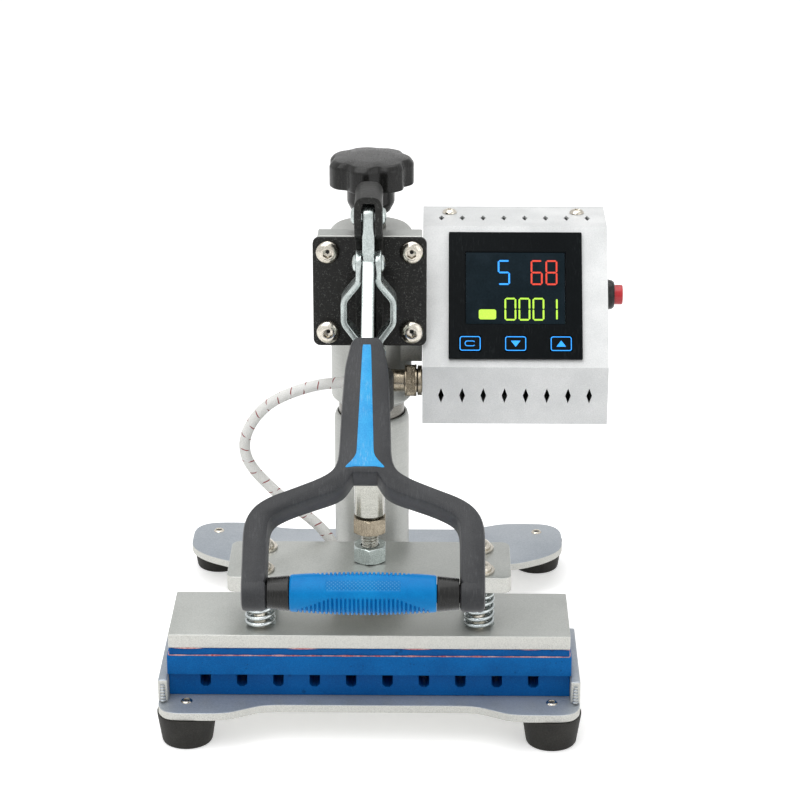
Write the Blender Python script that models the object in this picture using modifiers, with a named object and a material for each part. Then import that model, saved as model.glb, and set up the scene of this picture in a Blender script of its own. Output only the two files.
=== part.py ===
"""Pen heat press: a swivelling toggle press with ten pen grooves, built piece by piece.

Machine frame while modelling: X across, Y to the back, Z up, floor at Z = 0,
X = 0 on the plane through plunger and column, Y = 0 on the plunger axis.
"""
import math

import bmesh
import bpy
from mathutils import Matrix, Vector

# Clearance between two pieces that touch.
GAP = 0.0003
# How far a cutter runs past the face it opens.
OVERRUN = 0.004
# Points closer than this are one point.
WELD = 0.000005

# Base plate and feet.
BASE_HALF_X = 0.127
BASE_FRONT_Y = -0.053
BASE_LENGTH = 0.2894
BASE_THICK = 0.005
FOOT_HEIGHT = 0.020
FOOT_TOP_R = 0.018
FOOT_BOTTOM_R = 0.015
FOOT_INSET_X = 0.0170
FOOT_INSET_FRONT = 0.0163
FOOT_INSET_REAR = 0.0149
FOOT_X = BASE_HALF_X - FOOT_INSET_X
FOOT_FRONT_Y = BASE_FRONT_Y + FOOT_INSET_FRONT
FOOT_REAR_Y = BASE_FRONT_Y + BASE_LENGTH - FOOT_INSET_REAR
FOOT_RECESS_R = 0.0075
FOOT_RECESS_DEEP = 0.007
FOOT_SCREW_R = 0.0028
# Outline of the right half of the base, as shares of half width and length.
BASE_SHARES = (
    (0.45, 0.0404), (0.52, 0.036), (0.59, 0.020), (0.66, 0.004), (0.725, 0.0),
    (0.913, 0.0), (0.965, 0.0086), (0.992, 0.0276), (1.0, 0.045), (1.0, 0.335),
    (0.98, 0.358), (0.93, 0.374), (0.66, 0.381), (0.55, 0.397), (0.49, 0.432),
    (0.472, 0.473), (0.472, 0.667), (0.488, 0.708), (0.55, 0.739), (0.66, 0.755),
    (0.779, 0.770), (0.898, 0.801), (0.968, 0.833), (1.0, 0.867), (1.0, 0.950),
    (0.976, 0.978), (0.921, 0.9965), (0.85, 1.0), (0.725, 1.0), (0.66, 0.995),
    (0.59, 0.981), (0.52, 0.968), (0.45, 0.964),
)

# Pen tray and its side rails.
RAIL_THICK = 0.0057
TRAY_HALF_X = BASE_HALF_X - RAIL_THICK - GAP
TRAY_FRONT_Y = -0.028
TRAY_DEPTH = 0.056
TRAY_HEIGHT = 0.0147
GROOVE_COUNT = 10
GROOVE_PITCH = TRAY_HALF_X * 2 / (GROOVE_COUNT + 1)
GROOVE_MOUTH = 0.0100
GROOVE_WIDE = 0.0064
GROOVE_LIP = 0.0018
GROOVE_DEEP = 0.0092
GROOVE_FLOOR_SHARE = 0.45
RAIL_HALF_LENGTH = 0.038
RAIL_DROP = 0.0004
TRAY_FOOT = FOOT_HEIGHT + BASE_THICK + GAP
TRAY_TOP = TRAY_FOOT + TRAY_HEIGHT
EDGE_BREAK = 0.0005

# Column, swivel post and head sleeve.
COLUMN_Y = 0.062
COLUMN_R = 0.0230
COLUMN_TOP = 0.176
COLUMN_FLOOR = 0.055
COLUMN_ROUND = 0.0035
POST_R = 0.0202
POST_THREAD_R = 0.0062
POST_THREAD_SPARE = 0.010
SLEEVE_R = 0.0245
SLEEVE_LIFT = 0.008
SLEEVE_LONG = 0.106
SLEEVE_CHAMFER = 0.0030
SLEEVE_FOOT = COLUMN_TOP + SLEEVE_LIFT
SLEEVE_TOP = SLEEVE_FOOT + SLEEVE_LONG
POST_TOP_DROP = 0.020
POST_TOP = SLEEVE_TOP - POST_TOP_DROP
CAP_HIGH = 0.004
CAP_PLUG_DEEP = 0.003
CAP_TOP = SLEEVE_TOP + CAP_HIGH
CAP_PLUG = SLEEVE_TOP - CAP_PLUG_DEEP
CAP_HOLE_R = 0.0063

# Star knob with its adjusting screw.
KNOB_R = 0.0258
KNOB_VALLEY = 0.0032
KNOB_LOBES = 7
KNOB_LIFT = 0.010
KNOB_HUB_LONG = 0.017
KNOB_RIM_HIGH = 0.017
KNOB_HUB_FOOT = CAP_TOP + KNOB_LIFT
KNOB_RIM_FOOT = KNOB_HUB_FOOT + KNOB_HUB_LONG
KNOB_TOP = KNOB_RIM_FOOT + KNOB_RIM_HIGH
KNOB_HUB_R = 0.0143
KNOB_HUB_TAPER = 0.0030
KNOB_BEVEL = 0.0042
SCREW_R = 0.0059
SCREW_LONG = 0.113
SCREW_TOP_DROP = 0.010
SCREW_TOP = KNOB_TOP - SCREW_TOP_DROP
SCREW_FOOT = SCREW_TOP - SCREW_LONG
POST_THREAD_FOOT = SCREW_FOOT - POST_THREAD_SPARE
SCREW_CLIP_R = 0.0085
SCREW_CLIP_HIGH = 0.0040
SCREW_CLIP_FOOT = CAP_PLUG - SCREW_CLIP_HIGH
SCREW_COLLAR_R = 0.0090
SCREW_COLLAR_HIGH = 0.005
SCREW_COLLAR_TOP = CAP_TOP + SCREW_COLLAR_HIGH

# Toggle clamp: plates, bracket and guide.
TOGGLE_HALF = 0.0337
TOGGLE_DROP = 0.0254
TOGGLE_MID_Z = SLEEVE_TOP - TOGGLE_DROP
TOGGLE_FACE_Y = 0.025
TOGGLE_THICK = 0.0027
BACKING_REAR_Y = 0.0425
BACKING_HALF_X = 0.0309
PLATE_BOLT_SPAN = 0.0248
PLATE_BOLT_HEAD_R = 0.0071
PLATE_BOLT_HEAD_HIGH = 0.0044
PLATE_BOLT_R = 0.0039
PLATE_BOLT_END_Y = 0.0385
SOCKET_ACROSS = 0.0045
SOCKET_DEEP = 0.0022
PIVOT_RISE = 0.0544
CRANK_LONG = 0.0285
LINK_LONG = 0.0555
PIVOT_Z = TOGGLE_MID_Z + PIVOT_RISE
LINK_TOP_Z = PIVOT_Z - CRANK_LONG
LINK_FOOT_Z = LINK_TOP_Z - LINK_LONG
BRACKET_HALF_X = 0.0080
EAR_THICK = 0.0040
BRACKET_OVER_PIVOT = 0.0135
BRACKET_TOP = PIVOT_Z + BRACKET_OVER_PIVOT
BRACKET_WEB = 0.0035
# Side view of the bracket: shares of the plate distance (Y) and heights from its foot.
BRACKET_HIGH = 0.127
BRACKET_FOOT = BRACKET_TOP - BRACKET_HIGH
BRACKET_SHARES = (
    (1.04, 0.0), (1.04, 1.0), (-0.30, 1.0), (-0.42, 0.965), (-0.42, 0.845),
    (-0.24, 0.795), (0.10, 0.775), (0.50, 0.715), (0.55, 0.20), (0.63, 0.16), (0.63, 0.0),
)
GUIDE_R = 0.0146
GUIDE_LONG = 0.029
GUIDE_DROP = 0.009
GUIDE_TOP = LINK_FOOT_Z - GUIDE_DROP
GUIDE_FOOT = GUIDE_TOP - GUIDE_LONG
GUIDE_ROUND = 0.0040
GUIDE_TONGUE_HIGH = 0.0165
GUIDE_TONGUE_DROP = 0.0030
GUIDE_TONGUE_TOP = GUIDE_TOP - GUIDE_TONGUE_DROP
GUIDE_TONGUE_FOOT = GUIDE_TONGUE_TOP - GUIDE_TONGUE_HIGH
PIN_R = 0.0040
PIN_HEAD_R = 0.0052
PIN_HEAD_HIGH = 0.0022
PIN_DOME_SHARE = 0.55

# Handle bar, fork and grip, laid out along the leaning handle from the link pin.
LEAN = math.radians(47.0)
BAR_HALF_X = 0.0035
BAR_HALF_WIDE = 0.0070
BAR_REACH = 0.098
BAR_ROUND_POINTS = 7
FORK_THICK = 0.0200
FORK_TOP = 0.0530
FORK_LENGTH = 0.1535
FORK_HALF_X = 0.0665
FORK_CHAMFER = 0.0024
FORK_ARM = 0.0137
# Right half of the fork, outer edge then inner edge, as shares of half width and length.
FORK_SHARES = (
    (0.084, 0.0), (0.117, 0.009), (0.141, 0.029), (0.150, 0.052), (0.183, 0.117),
    (0.204, 0.274), (0.221, 0.495), (0.263, 0.541), (0.371, 0.573), (0.582, 0.612),
    (0.790, 0.648), (0.902, 0.681), (0.970, 0.723), (1.0, 0.775), (1.0, 1.017),
    (0.794, 1.017), (0.794, 0.775), (0.774, 0.739), (0.722, 0.715), (0.582, 0.684),
    (0.188, 0.622), (0.098, 0.557),
)
INLAY_RECESS = 0.0008
INLAY_THICK = 0.0010
INLAY_TOP = 0.0585
INLAY_LENGTH = 0.0772
INLAY_HALF_X = 0.0119
INLAY_SHARES = (
    (0.176, 0.0), (0.205, 0.02), (0.403, 0.887), (0.63, 0.94), (1.0, 1.0), (0.504, 0.987),
)
GRIP_CORE_R = 0.0050
GRIP_HALF = 0.0400
GRIP_END_R = 0.01005
GRIP_MID_R = 0.01195
GRIP_RIBS = 20
GRIP_RIB_DEEP = 0.0004
COLLAR_ARM_R = 0.0085
COLLAR_GRIP_R = 0.0097

# Links between handle and plunger.
LINK_THICK = 0.0035
LINK_HALF_Y = 0.0075
LINK_BOW = 0.0162
LINK_TOP_IN = 0.0038
LINK_FOOT_IN = 0.0045
# Heights of the link's bends as shares of the distance between its pins.
LINK_BEND_SHARES = (0.18, 0.38, 0.63, 0.83)

# Heated platen, from the tray upwards.
PAD_PROUD = 0.0010
PAD_LIFT = 0.0003
PAD_THICK = 0.0123
HEATER_THICK = 0.0044
HEATER_INSET = 0.0003
COVER_HALF_X = 0.1208
COVER_HALF_Y = 0.0310
COVER_THICK = 0.0087
PAD_FOOT = TRAY_TOP + PAD_LIFT
PAD_TOP = PAD_FOOT + PAD_THICK
HEATER_TOP = PAD_TOP + GAP + HEATER_THICK
COVER_TOP = HEATER_TOP + GAP + COVER_THICK
GLAND_X = -0.020
GLAND_GAP_Y = 0.0058
GLAND_Y = COVER_HALF_Y + GLAND_GAP_Y
GLAND_R = 0.0056
GLAND_LONG = 0.0180
GLAND_OVER_COVER = 0.0077
GLAND_TOP = COVER_TOP + GLAND_OVER_COVER
GLAND_FOOT = GLAND_TOP - GLAND_LONG
GLAND_LUG_HIGH = 0.0080
GLAND_FLOOR = 0.0030
GLAND_BORE_FOOT = GLAND_FOOT + GLAND_FLOOR

# Mount plate, plunger, stud, jam nuts and springs.
SPRING_ROOM = 0.0264
MOUNT_HALF_X = 0.0850
MOUNT_HALF_Y = 0.0270
MOUNT_THICK = 0.0100
MOUNT_TOP = COVER_TOP + SPRING_ROOM + MOUNT_THICK
MOUNT_CORNER = 0.0055
PLUNGER_R = 0.00925
PLUNGER_LIFT = 0.0303
PLUNGER_SHOULDER = 0.0160
PLUNGER_FOOT = MOUNT_TOP + PLUNGER_LIFT
PLUNGER_TOP = LINK_FOOT_Z - PLUNGER_SHOULDER
TONGUE_HALF_X = 0.0042
TONGUE_HALF_Y = 0.0075
STUD_R = 0.0052
STUD_SUNK = 0.0082
STUD_FOOT = MOUNT_TOP - STUD_SUNK
NUT_CORNER_R = 0.01095
NUT_HIGH = 0.0100
NUT_LIFT = 0.0188
NUT_UPPER_FOOT = MOUNT_TOP + NUT_LIFT
SPRING_X = 0.0660
SPRING_Y = 0.0163
SHOULDER_R = 0.0040
SHOULDER_FLANGE_R = 0.0092
SHOULDER_FLANGE_HIGH = 0.0014
SHOULDER_HEAD_R = 0.0074
SHOULDER_HEAD_HIGH = 0.0058
SHOULDER_BITE = 0.006
SPRING_MID_R = 0.0082
SPRING_WIRE_R = 0.00125
SPRING_END_TURNS = 1.0
SPRING_LIVE_TURNS = 3.75
SPRING_POINTS = 8
SPRING_END_GAP = 0.00055

# Control box, display and keys.
BOX_LEFT = 0.0313
BOX_WIDE = 0.1113
BOX_FRONT_Y = 0.024
BOX_DEPTH = 0.086
BOX_REAR_Y = BOX_FRONT_Y + BOX_DEPTH
BOX_RIGHT = BOX_LEFT + BOX_WIDE
BOX_DROP = 0.0829
BOX_FOOT = TOGGLE_MID_Z - BOX_DROP
BOX_HIGH = 0.1103
BOX_WALL = 0.0015
# Side view of the box, as shares of its depth and height.
BOX_SHARES = ((0.0, 0.0), (-0.035, 0.337), (0.547, 0.996), (1.0, 1.0), (1.0, 0.0))
BACK_THICK = 0.0015
LIP_LONG = 0.0140
VENT_COUNT = 8
VENT_PITCH = 0.0127
VENT_WIDE = 0.0035
VENT_LONG = 0.0100
TOP_VENT_INSET = 0.022
TOP_VENT_Y = BOX_REAR_Y - TOP_VENT_INSET
BEZEL_WIDE = 0.0801
BEZEL_HIGH = 0.0792
BEZEL_THICK = 0.0025
BEZEL_DOWN = 0.0440
WINDOW_WIDE = 0.0600
WINDOW_HIGH = 0.0452
WINDOW_DOWN = 0.0396
GLASS_THICK = 0.0058
GLASS_SINK = 0.0006
KEY_WIDE = 0.0127
KEY_HIGH = 0.0093
KEY_PITCH = 0.0272
KEY_DOWN = 0.0743
KEY_THICK = 0.0016
KEY_PROUD = 0.0003
KEY_TRAVEL = 0.0004
BRACE_LIFT = 0.0323
BRACE_HIGH = 0.048
BRACE_FOOT = BOX_FOOT + BRACE_LIFT
BRACE_TOP = BRACE_FOOT + BRACE_HIGH
BRACE_HALF_Y = 0.0170
BRACE_INNER_X = 0.0120
BOARD_WIDE = 0.0860
BOARD_HIGH = 0.0540
BOARD_THICK = 0.0016
BOARD_INSET = 0.0170
BOARD_LIFT = 0.0743
BOARD_Y = BOX_REAR_Y - BOARD_INSET
BOARD_MID_Z = BOX_FOOT + BOARD_LIFT
STANDOFF_R = 0.0028
STANDOFF_INSET = 0.0060
RELAY_WIDE = 0.0190
RELAY_DEEP = 0.0150
RELAY_HIGH = 0.0160
COIL_WIDE = 0.0300
COIL_DEEP = 0.0220
COIL_HIGH = 0.0260
PART_SHIFT = 0.0200

# Push button on the right wall.
BUTTON_INSET = 0.036
BUTTON_LIFT = 0.0703
BUTTON_Y = BOX_FRONT_Y + BUTTON_INSET
BUTTON_Z = BOX_FOOT + BUTTON_LIFT
BUTTON_RING_R = 0.0093
BUTTON_RING_HIGH = 0.0045
BUTTON_BODY_R = 0.0076
BUTTON_BODY_LONG = 0.0160
BUTTON_R = 0.0060
BUTTON_PROUD = 0.0052
BUTTON_TAIL = 0.0100

# Mains inlet on the rear wall.
INLET_INSET = 0.0326
INLET_LIFT = 0.0253
INLET_X = BOX_RIGHT - INLET_INSET
INLET_Z = BOX_FOOT + INLET_LIFT
INLET_WIDE = 0.0270
INLET_HIGH = 0.0200
INLET_LONG = 0.0220
INLET_FLANGE = 0.0035
INLET_FLANGE_THICK = 0.0022
INLET_WALL = 0.0020
INLET_CAVITY = 0.0160
INLET_BLADE_THICK = 0.0020
INLET_BLADE_LONG = 0.0120
INLET_BLADE_HIGH = 0.0050
INLET_BLADE_SPREAD = 0.0070
INLET_EARTH_LIFT = 0.0035

# Heater connector on the left wall and its cable.
PLUG_INSET = 0.0075
PLUG_LIFT = 0.0249
PLUG_Y = BOX_FRONT_Y + PLUG_INSET
PLUG_Z = BOX_FOOT + PLUG_LIFT
SOCKET_FLANGE_R = 0.0091
SOCKET_FLANGE_THICK = 0.0028
SOCKET_BARREL_R = 0.0070
SOCKET_BARREL_LONG = 0.0060
SOCKET_BORE_R = 0.0056
SOCKET_TAIL_R = 0.0068
SOCKET_TAIL_LONG = 0.0080
RING_R = 0.0097
RING_LONG = 0.0070
RING_LIP = 0.0014
RING_LIP_BORE = 0.0058
RING_START = 0.0035
PLUG_NOSE_R = 0.0052
PLUG_NOSE_IN = 0.0035
PLUG_TAIL_R = 0.0068
PLUG_TAIL_LONG = 0.0100
CABLE_R = 0.0034
# Route of the heater cable after the plug, (x, y, z) in the machine frame.
CABLE_ROUTE = (
    (0.0020, 0.0316, 0.2066), (-0.0060, 0.0318, 0.2062), (-0.0160, 0.0320, 0.2050),
    (-0.0310, 0.0326, 0.2030), (-0.0460, 0.0328, 0.1985), (-0.0590, 0.0345, 0.1915),
    (-0.0680, 0.0362, 0.1830), (-0.0745, 0.0378, 0.1725), (-0.0772, 0.0390, 0.1625),
    (-0.0762, 0.0398, 0.1530), (-0.0715, 0.0404, 0.1440), (-0.0640, 0.0408, 0.1350),
    (-0.0560, 0.0410, 0.1270), (-0.0470, 0.0408, 0.1195), (-0.0380, 0.0400, 0.1125),
    (-0.0300, 0.0388, 0.1050), (-0.0240, 0.0376, 0.0965), (-0.0210, 0.0370, 0.0880),
    (-0.0200, 0.0368, 0.0800), (-0.0200, 0.0368, 0.0720), (-0.0200, 0.0368, 0.0625),
)

# Facets round large, middling and small turned pieces.
FINE = 24
MID = 18
SMALL = 12

OBJECT_NAME = "pen_heat_press"
CORD_NAMES = ("heater_cable",)


def clear_scene():
    """Removes everything the start-up scene brings."""
    for thing in list(bpy.data.objects):
        bpy.data.objects.remove(thing, do_unlink=True)


def new_collection(name):
    """A collection linked to the scene."""
    group = bpy.data.collections.new(name)
    bpy.context.scene.collection.children.link(group)
    return group


def finish(name, colour, metallic, roughness):
    """One plain material for one piece."""
    made = bpy.data.materials.new(name)
    made.use_nodes = True
    shader = made.node_tree.nodes["Principled BSDF"]
    shader.inputs["Base Color"].default_value = (*colour, 1.0)
    shader.inputs["Metallic"].default_value = metallic
    shader.inputs["Roughness"].default_value = roughness
    return made


STEEL = ((0.62, 0.63, 0.64), 1.0, 0.35)
ALLOY = ((0.72, 0.73, 0.74), 1.0, 0.45)
ZINC = ((0.75, 0.77, 0.80), 1.0, 0.3)
BLACK_METAL = ((0.03, 0.03, 0.032), 0.3, 0.5)
DARK_GREY = ((0.10, 0.10, 0.11), 0.2, 0.45)
BOX_PAINT = ((0.33, 0.36, 0.38), 0.2, 0.5)
BLUE = ((0.01, 0.20, 0.55), 0.0, 0.55)
RUBBER = ((0.03, 0.03, 0.03), 0.0, 0.8)
PLASTIC = ((0.02, 0.02, 0.022), 0.0, 0.35)
WHITE = ((0.85, 0.84, 0.80), 0.0, 0.7)
RED = ((0.70, 0.02, 0.02), 0.0, 0.4)
GREEN = ((0.02, 0.18, 0.08), 0.0, 0.5)

# Turns that stand an outline up: side view (local x, y become Y, Z), front view, and others.
SIDE = Matrix(((0, 0, 1), (1, 0, 0), (0, 1, 0)))
FRONT = Matrix(((1, 0, 0), (0, 0, -1), (0, 1, 0)))
FLAT = Matrix.Identity(3)
ALONG_X = Matrix(((0, 0, 1), (0, 1, 0), (-1, 0, 0)))
ALONG_Y = Matrix(((1, 0, 0), (0, 0, 1), (0, -1, 0)))


class Shop:
    """Keeps the collections and puts pieces and cutters in their place."""

    def __init__(self):
        self.pieces = new_collection(OBJECT_NAME)
        self.cutters = new_collection("cutters")
        self.root = self.empty("machine_root", None, Vector((0, 0, 0)))

    def empty(self, name, parent, at):
        """An empty in the machine frame, under a parent or on its own."""
        made = bpy.data.objects.new(name, None)
        self.pieces.objects.link(made)
        made["spot"] = tuple(at)
        if parent is not None:
            made.parent = parent
            made.location = Vector(at) - Vector(parent["spot"])
        return made

    def put(self, name, mesh, at, under=None, look=None, turn=FLAT):
        """Places a mesh as a piece, or as a cutter when it has no look."""
        under = under or self.root
        made = bpy.data.objects.new(name, mesh)
        (self.pieces if look else self.cutters).objects.link(made)
        made.parent = under
        made.location = Vector(at) - Vector(under["spot"])
        made.rotation_euler = turn.to_euler()
        if look:
            mesh.materials.clear()
            mesh.materials.append(finish(name + "_look", *look))
        else:
            made.hide_render = True
            made.display_type = "WIRE"
        return made


def block_mesh(name, size):
    """A box of the given size about its own middle."""
    made = bpy.data.meshes.new(name)
    shape = bmesh.new()
    bmesh.ops.create_cube(shape, size=1.0, matrix=Matrix.Diagonal((*size, 1.0)))
    shape.to_mesh(made)
    shape.free()
    return made


def rod_mesh(name, radius, length, steps=MID):
    """A closed cylinder about its own middle, along its own Z."""
    made = bpy.data.meshes.new(name)
    shape = bmesh.new()
    bmesh.ops.create_cone(shape, cap_ends=True, segments=steps, radius1=radius, radius2=radius,
                          depth=length)
    shape.to_mesh(made)
    shape.free()
    return made


def rods_mesh(name, radius, length, spots, turn=FLAT, steps=MID):
    """Several closed cylinders in one mesh, one at each spot."""
    made = bpy.data.meshes.new(name)
    shape = bmesh.new()
    for spot in spots:
        where = Matrix.Translation(Vector(spot)) @ turn.to_4x4()
        bmesh.ops.create_cone(shape, cap_ends=True, segments=steps, radius1=radius,
                              radius2=radius, depth=length, matrix=where)
    shape.to_mesh(made)
    shape.free()
    return made


def blocks_mesh(name, boxes, turn=FLAT):
    """Several boxes in one mesh: each is (middle, size)."""
    made = bpy.data.meshes.new(name)
    shape = bmesh.new()
    for middle, size in boxes:
        where = turn.to_4x4() @ Matrix.Translation(Vector(middle)) @ Matrix.Diagonal((*size, 1.0))
        bmesh.ops.create_cube(shape, size=1.0, matrix=where)
    shape.to_mesh(made)
    shape.free()
    return made


def turned_mesh(name, outline, steps=FINE):
    """A turned solid from (radius, height) points, top to bottom down its outer side."""
    line = bpy.data.meshes.new(name + "_line")
    closed = outline[0][0] > 0
    points = [(radius, 0.0, height) for radius, height in outline]
    edges = [(i, i + 1) for i in range(len(points) - 1)]
    if closed:
        edges.append((len(points) - 1, 0))
    line.from_pydata(points, edges, [])
    holder = bpy.data.objects.new(name + "_holder", line)
    bpy.context.scene.collection.objects.link(holder)
    screw = holder.modifiers.new("turn", "SCREW")
    screw.axis = "Z"
    screw.steps = steps
    screw.render_steps = steps
    screw.use_merge_vertices = True
    screw.merge_threshold = WELD
    screw.use_normal_calculate = True
    return baked(name, holder)


def outline_mesh(name, points, thick):
    """A flat closed outline given a thickness about its own plane."""
    curve = bpy.data.curves.new(name + "_curve", "CURVE")
    curve.dimensions = "2D"
    curve.fill_mode = "BOTH"
    curve.extrude = thick / 2
    spline = curve.splines.new("POLY")
    spline.points.add(len(points) - 1)
    for point, (x, y) in zip(spline.points, points):
        point.co = (x, y, 0.0, 1.0)
    spline.use_cyclic_u = True
    holder = bpy.data.objects.new(name + "_holder", curve)
    bpy.context.scene.collection.objects.link(holder)
    return baked(name, holder)


def tube_mesh(name, path, radius, resolution=2):
    """A round wire along a path, closed at both ends."""
    curve = bpy.data.curves.new(name + "_curve", "CURVE")
    curve.dimensions = "3D"
    curve.bevel_depth = radius
    curve.bevel_resolution = resolution
    curve.use_fill_caps = True
    spline = curve.splines.new("POLY")
    spline.points.add(len(path) - 1)
    for point, spot in zip(spline.points, path):
        point.co = (*spot, 1.0)
    holder = bpy.data.objects.new(name + "_holder", curve)
    bpy.context.scene.collection.objects.link(holder)
    return baked(name, holder)


def baked(name, holder):
    """Takes the shown shape of a holder as a plain mesh and removes the holder."""
    bpy.context.view_layer.update()
    seen = holder.evaluated_get(bpy.context.evaluated_depsgraph_get())
    made = bpy.data.meshes.new_from_object(seen)
    made.name = name
    data = holder.data
    bpy.data.objects.remove(holder, do_unlink=True)
    if isinstance(data, bpy.types.Mesh):
        bpy.data.meshes.remove(data)
    else:
        bpy.data.curves.remove(data)
    shape = bmesh.new()
    shape.from_mesh(made)
    bmesh.ops.remove_doubles(shape, verts=shape.verts, dist=WELD)
    bmesh.ops.recalc_face_normals(shape, faces=shape.faces)
    if shape.calc_volume(signed=True) < 0:
        bmesh.ops.reverse_faces(shape, faces=shape.faces)
    shape.to_mesh(made)
    shape.free()
    return made


def combine(target, other, how):
    """Cuts, joins or crosses a piece with a cutter."""
    step = target.modifiers.new(how.lower(), "BOOLEAN")
    step.operation = how
    step.solver = "EXACT"
    step.object = other


def break_edges(target, width, segments=1, angle=math.radians(40.0)):
    """Bevels the sharp edges of a piece."""
    step = target.modifiers.new("edges", "BEVEL")
    step.width = width
    step.segments = segments
    step.limit_method = "ANGLE"
    step.angle_limit = angle
    step.use_clamp_overlap = True


def smooth(target, angle=math.radians(35.0)):
    """Smooth shading with sharp edges kept."""
    target.data.shade_smooth()
    target.data.set_sharp_from_angle(angle=angle)


def mirrored_outline(half, scale_x, start_y, length):
    """A closed outline from the shares of its right half."""
    right = [(x * scale_x, start_y + y * length) for x, y in half]
    left = [(-x, y) for x, y in reversed(right)]
    return right + left


def grown(points, by):
    """A closed outline moved outwards, its corners mitred."""
    count = len(points)
    area = sum(points[i][0] * points[(i + 1) % count][1] - points[(i + 1) % count][0] * points[i][1]
               for i in range(count))
    side = 1 if area > 0 else -1
    moved = []
    for i in range(count):
        before = Vector(points[i]) - Vector(points[i - 1])
        after = Vector(points[(i + 1) % count]) - Vector(points[i])
        normals = [Vector((d.y, -d.x)).normalized() * side for d in (before, after)]
        miter = (normals[0] + normals[1]).normalized()
        reach = by / max(miter.dot(normals[0]), 0.4)
        moved.append((points[i][0] + miter.x * reach, points[i][1] + miter.y * reach))
    return moved


def round_end(centre, radius, start, sweep, count=BAR_ROUND_POINTS):
    """Points on an arc, angles in degrees."""
    return [(centre[0] + radius * math.cos(math.radians(start + sweep * i / (count - 1))),
             centre[1] + radius * math.sin(math.radians(start + sweep * i / (count - 1))))
            for i in range(count)]


def copies_mesh(name, mesh, placements):
    """Several copies of one shape in one mesh, one at each placement."""
    made = bpy.data.meshes.new(name)
    shape = bmesh.new()
    for placement in placements:
        fresh = mesh.copy()
        fresh.transform(placement)
        shape.from_mesh(fresh)
        bpy.data.meshes.remove(fresh)
    shape.to_mesh(made)
    shape.free()
    bpy.data.meshes.remove(mesh)
    return made


def at(x, y, z):
    """A placement without a turn."""
    return Matrix.Translation(Vector((x, y, z)))


def pin_outline(radius, span, head_r, head_high):
    """A rivet with a low dome at both ends of its span, about its own middle."""
    half = span / 2
    dome = head_high * PIN_DOME_SHARE
    return [
        (0.0, half + head_high), (head_r * PIN_DOME_SHARE, half + head_high),
        (head_r, half + dome), (head_r, half), (radius, half), (radius, -half),
        (head_r, -half), (head_r, -half - dome), (head_r * PIN_DOME_SHARE, -half - head_high),
        (0.0, -half - head_high),
    ]


def dome_outline(head_r, head_high, shank_r, shank_long, flange_r=0.0, flange_high=0.0):
    """A button head on a shank, its seat at height zero."""
    foot = flange_high
    points = [(0.0, head_high), (head_r * 0.5, head_high * 0.95), (head_r * 0.8, head_high * 0.74),
              (head_r * 0.96, foot + (head_high - foot) * 0.42), (head_r, foot)]
    if flange_r > 0:
        points += [(flange_r, foot), (flange_r, 0.0)]
    return points + [(shank_r, 0.0), (shank_r, -shank_long), (0.0, -shank_long)]


def build_base(shop):
    """Base plate, feet, tray, rails and column: everything that stands still."""
    plate = shop.put("base_plate", outline_mesh(
        "base_plate", mirrored_outline(BASE_SHARES, BASE_HALF_X, BASE_FRONT_Y, BASE_LENGTH),
        BASE_THICK), (0, 0, FOOT_HEIGHT + BASE_THICK / 2), look=ALLOY)
    break_edges(plate, EDGE_BREAK, angle=math.radians(80.0))
    feet = {
        "foot_front_left": (-FOOT_X, FOOT_FRONT_Y), "foot_front_right": (FOOT_X, FOOT_FRONT_Y),
        "foot_rear_left": (-FOOT_X, FOOT_REAR_Y), "foot_rear_right": (FOOT_X, FOOT_REAR_Y),
    }
    spots = [(x, y, 0.0) for x, y in feet.values()]
    hole_r = FOOT_SCREW_R + GAP
    plate_mid = FOOT_HEIGHT + BASE_THICK / 2
    rail_high = TRAY_HEIGHT - RAIL_DROP + BASE_THICK / 2
    rail_z = TRAY_TOP - RAIL_DROP - rail_high / 2
    rail_x = BASE_HALF_X - RAIL_THICK / 2
    for name, sign in (("join_rail_left", -1), ("join_rail_right", 1)):
        rail = shop.put(name, block_mesh(name, (
            RAIL_THICK, RAIL_HALF_LENGTH * 2, rail_high)), (sign * rail_x, 0.0, rail_z))
        break_edges(rail, EDGE_BREAK)
        combine(plate, rail, "UNION")
    combine(plate, shop.put("cut_foot_holes", rods_mesh(
        "cut_foot_holes", hole_r, BASE_THICK + OVERRUN, spots, steps=SMALL),
        (0, 0, plate_mid)), "DIFFERENCE")
    top = FOOT_HEIGHT - GAP
    for name, (x, y) in feet.items():
        foot = shop.put(name, turned_mesh(name, [
            (hole_r, top), (FOOT_TOP_R, top), (FOOT_TOP_R, top - EDGE_BREAK),
            (FOOT_BOTTOM_R + EDGE_BREAK, EDGE_BREAK * 2), (FOOT_BOTTOM_R - EDGE_BREAK, 0.0),
            (FOOT_RECESS_R, 0.0), (FOOT_RECESS_R, FOOT_RECESS_DEEP), (hole_r, FOOT_RECESS_DEEP),
        ]), (x, y, 0), look=RUBBER)
        smooth(foot)
    build_tray(shop)
    foot = TRAY_FOOT
    column = shop.put("column", turned_mesh("column", [
        (0.0, COLUMN_FLOOR), (POST_R + GAP, COLUMN_FLOOR), (POST_R + GAP, COLUMN_TOP),
        (COLUMN_R - COLUMN_ROUND * 0.75, COLUMN_TOP),
        (COLUMN_R - COLUMN_ROUND * 0.25, COLUMN_TOP - COLUMN_ROUND * 0.3),
        (COLUMN_R, COLUMN_TOP - COLUMN_ROUND), (COLUMN_R, foot), (0.0, foot)]),
        (0, COLUMN_Y, 0), look=ALLOY)
    smooth(column)


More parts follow.
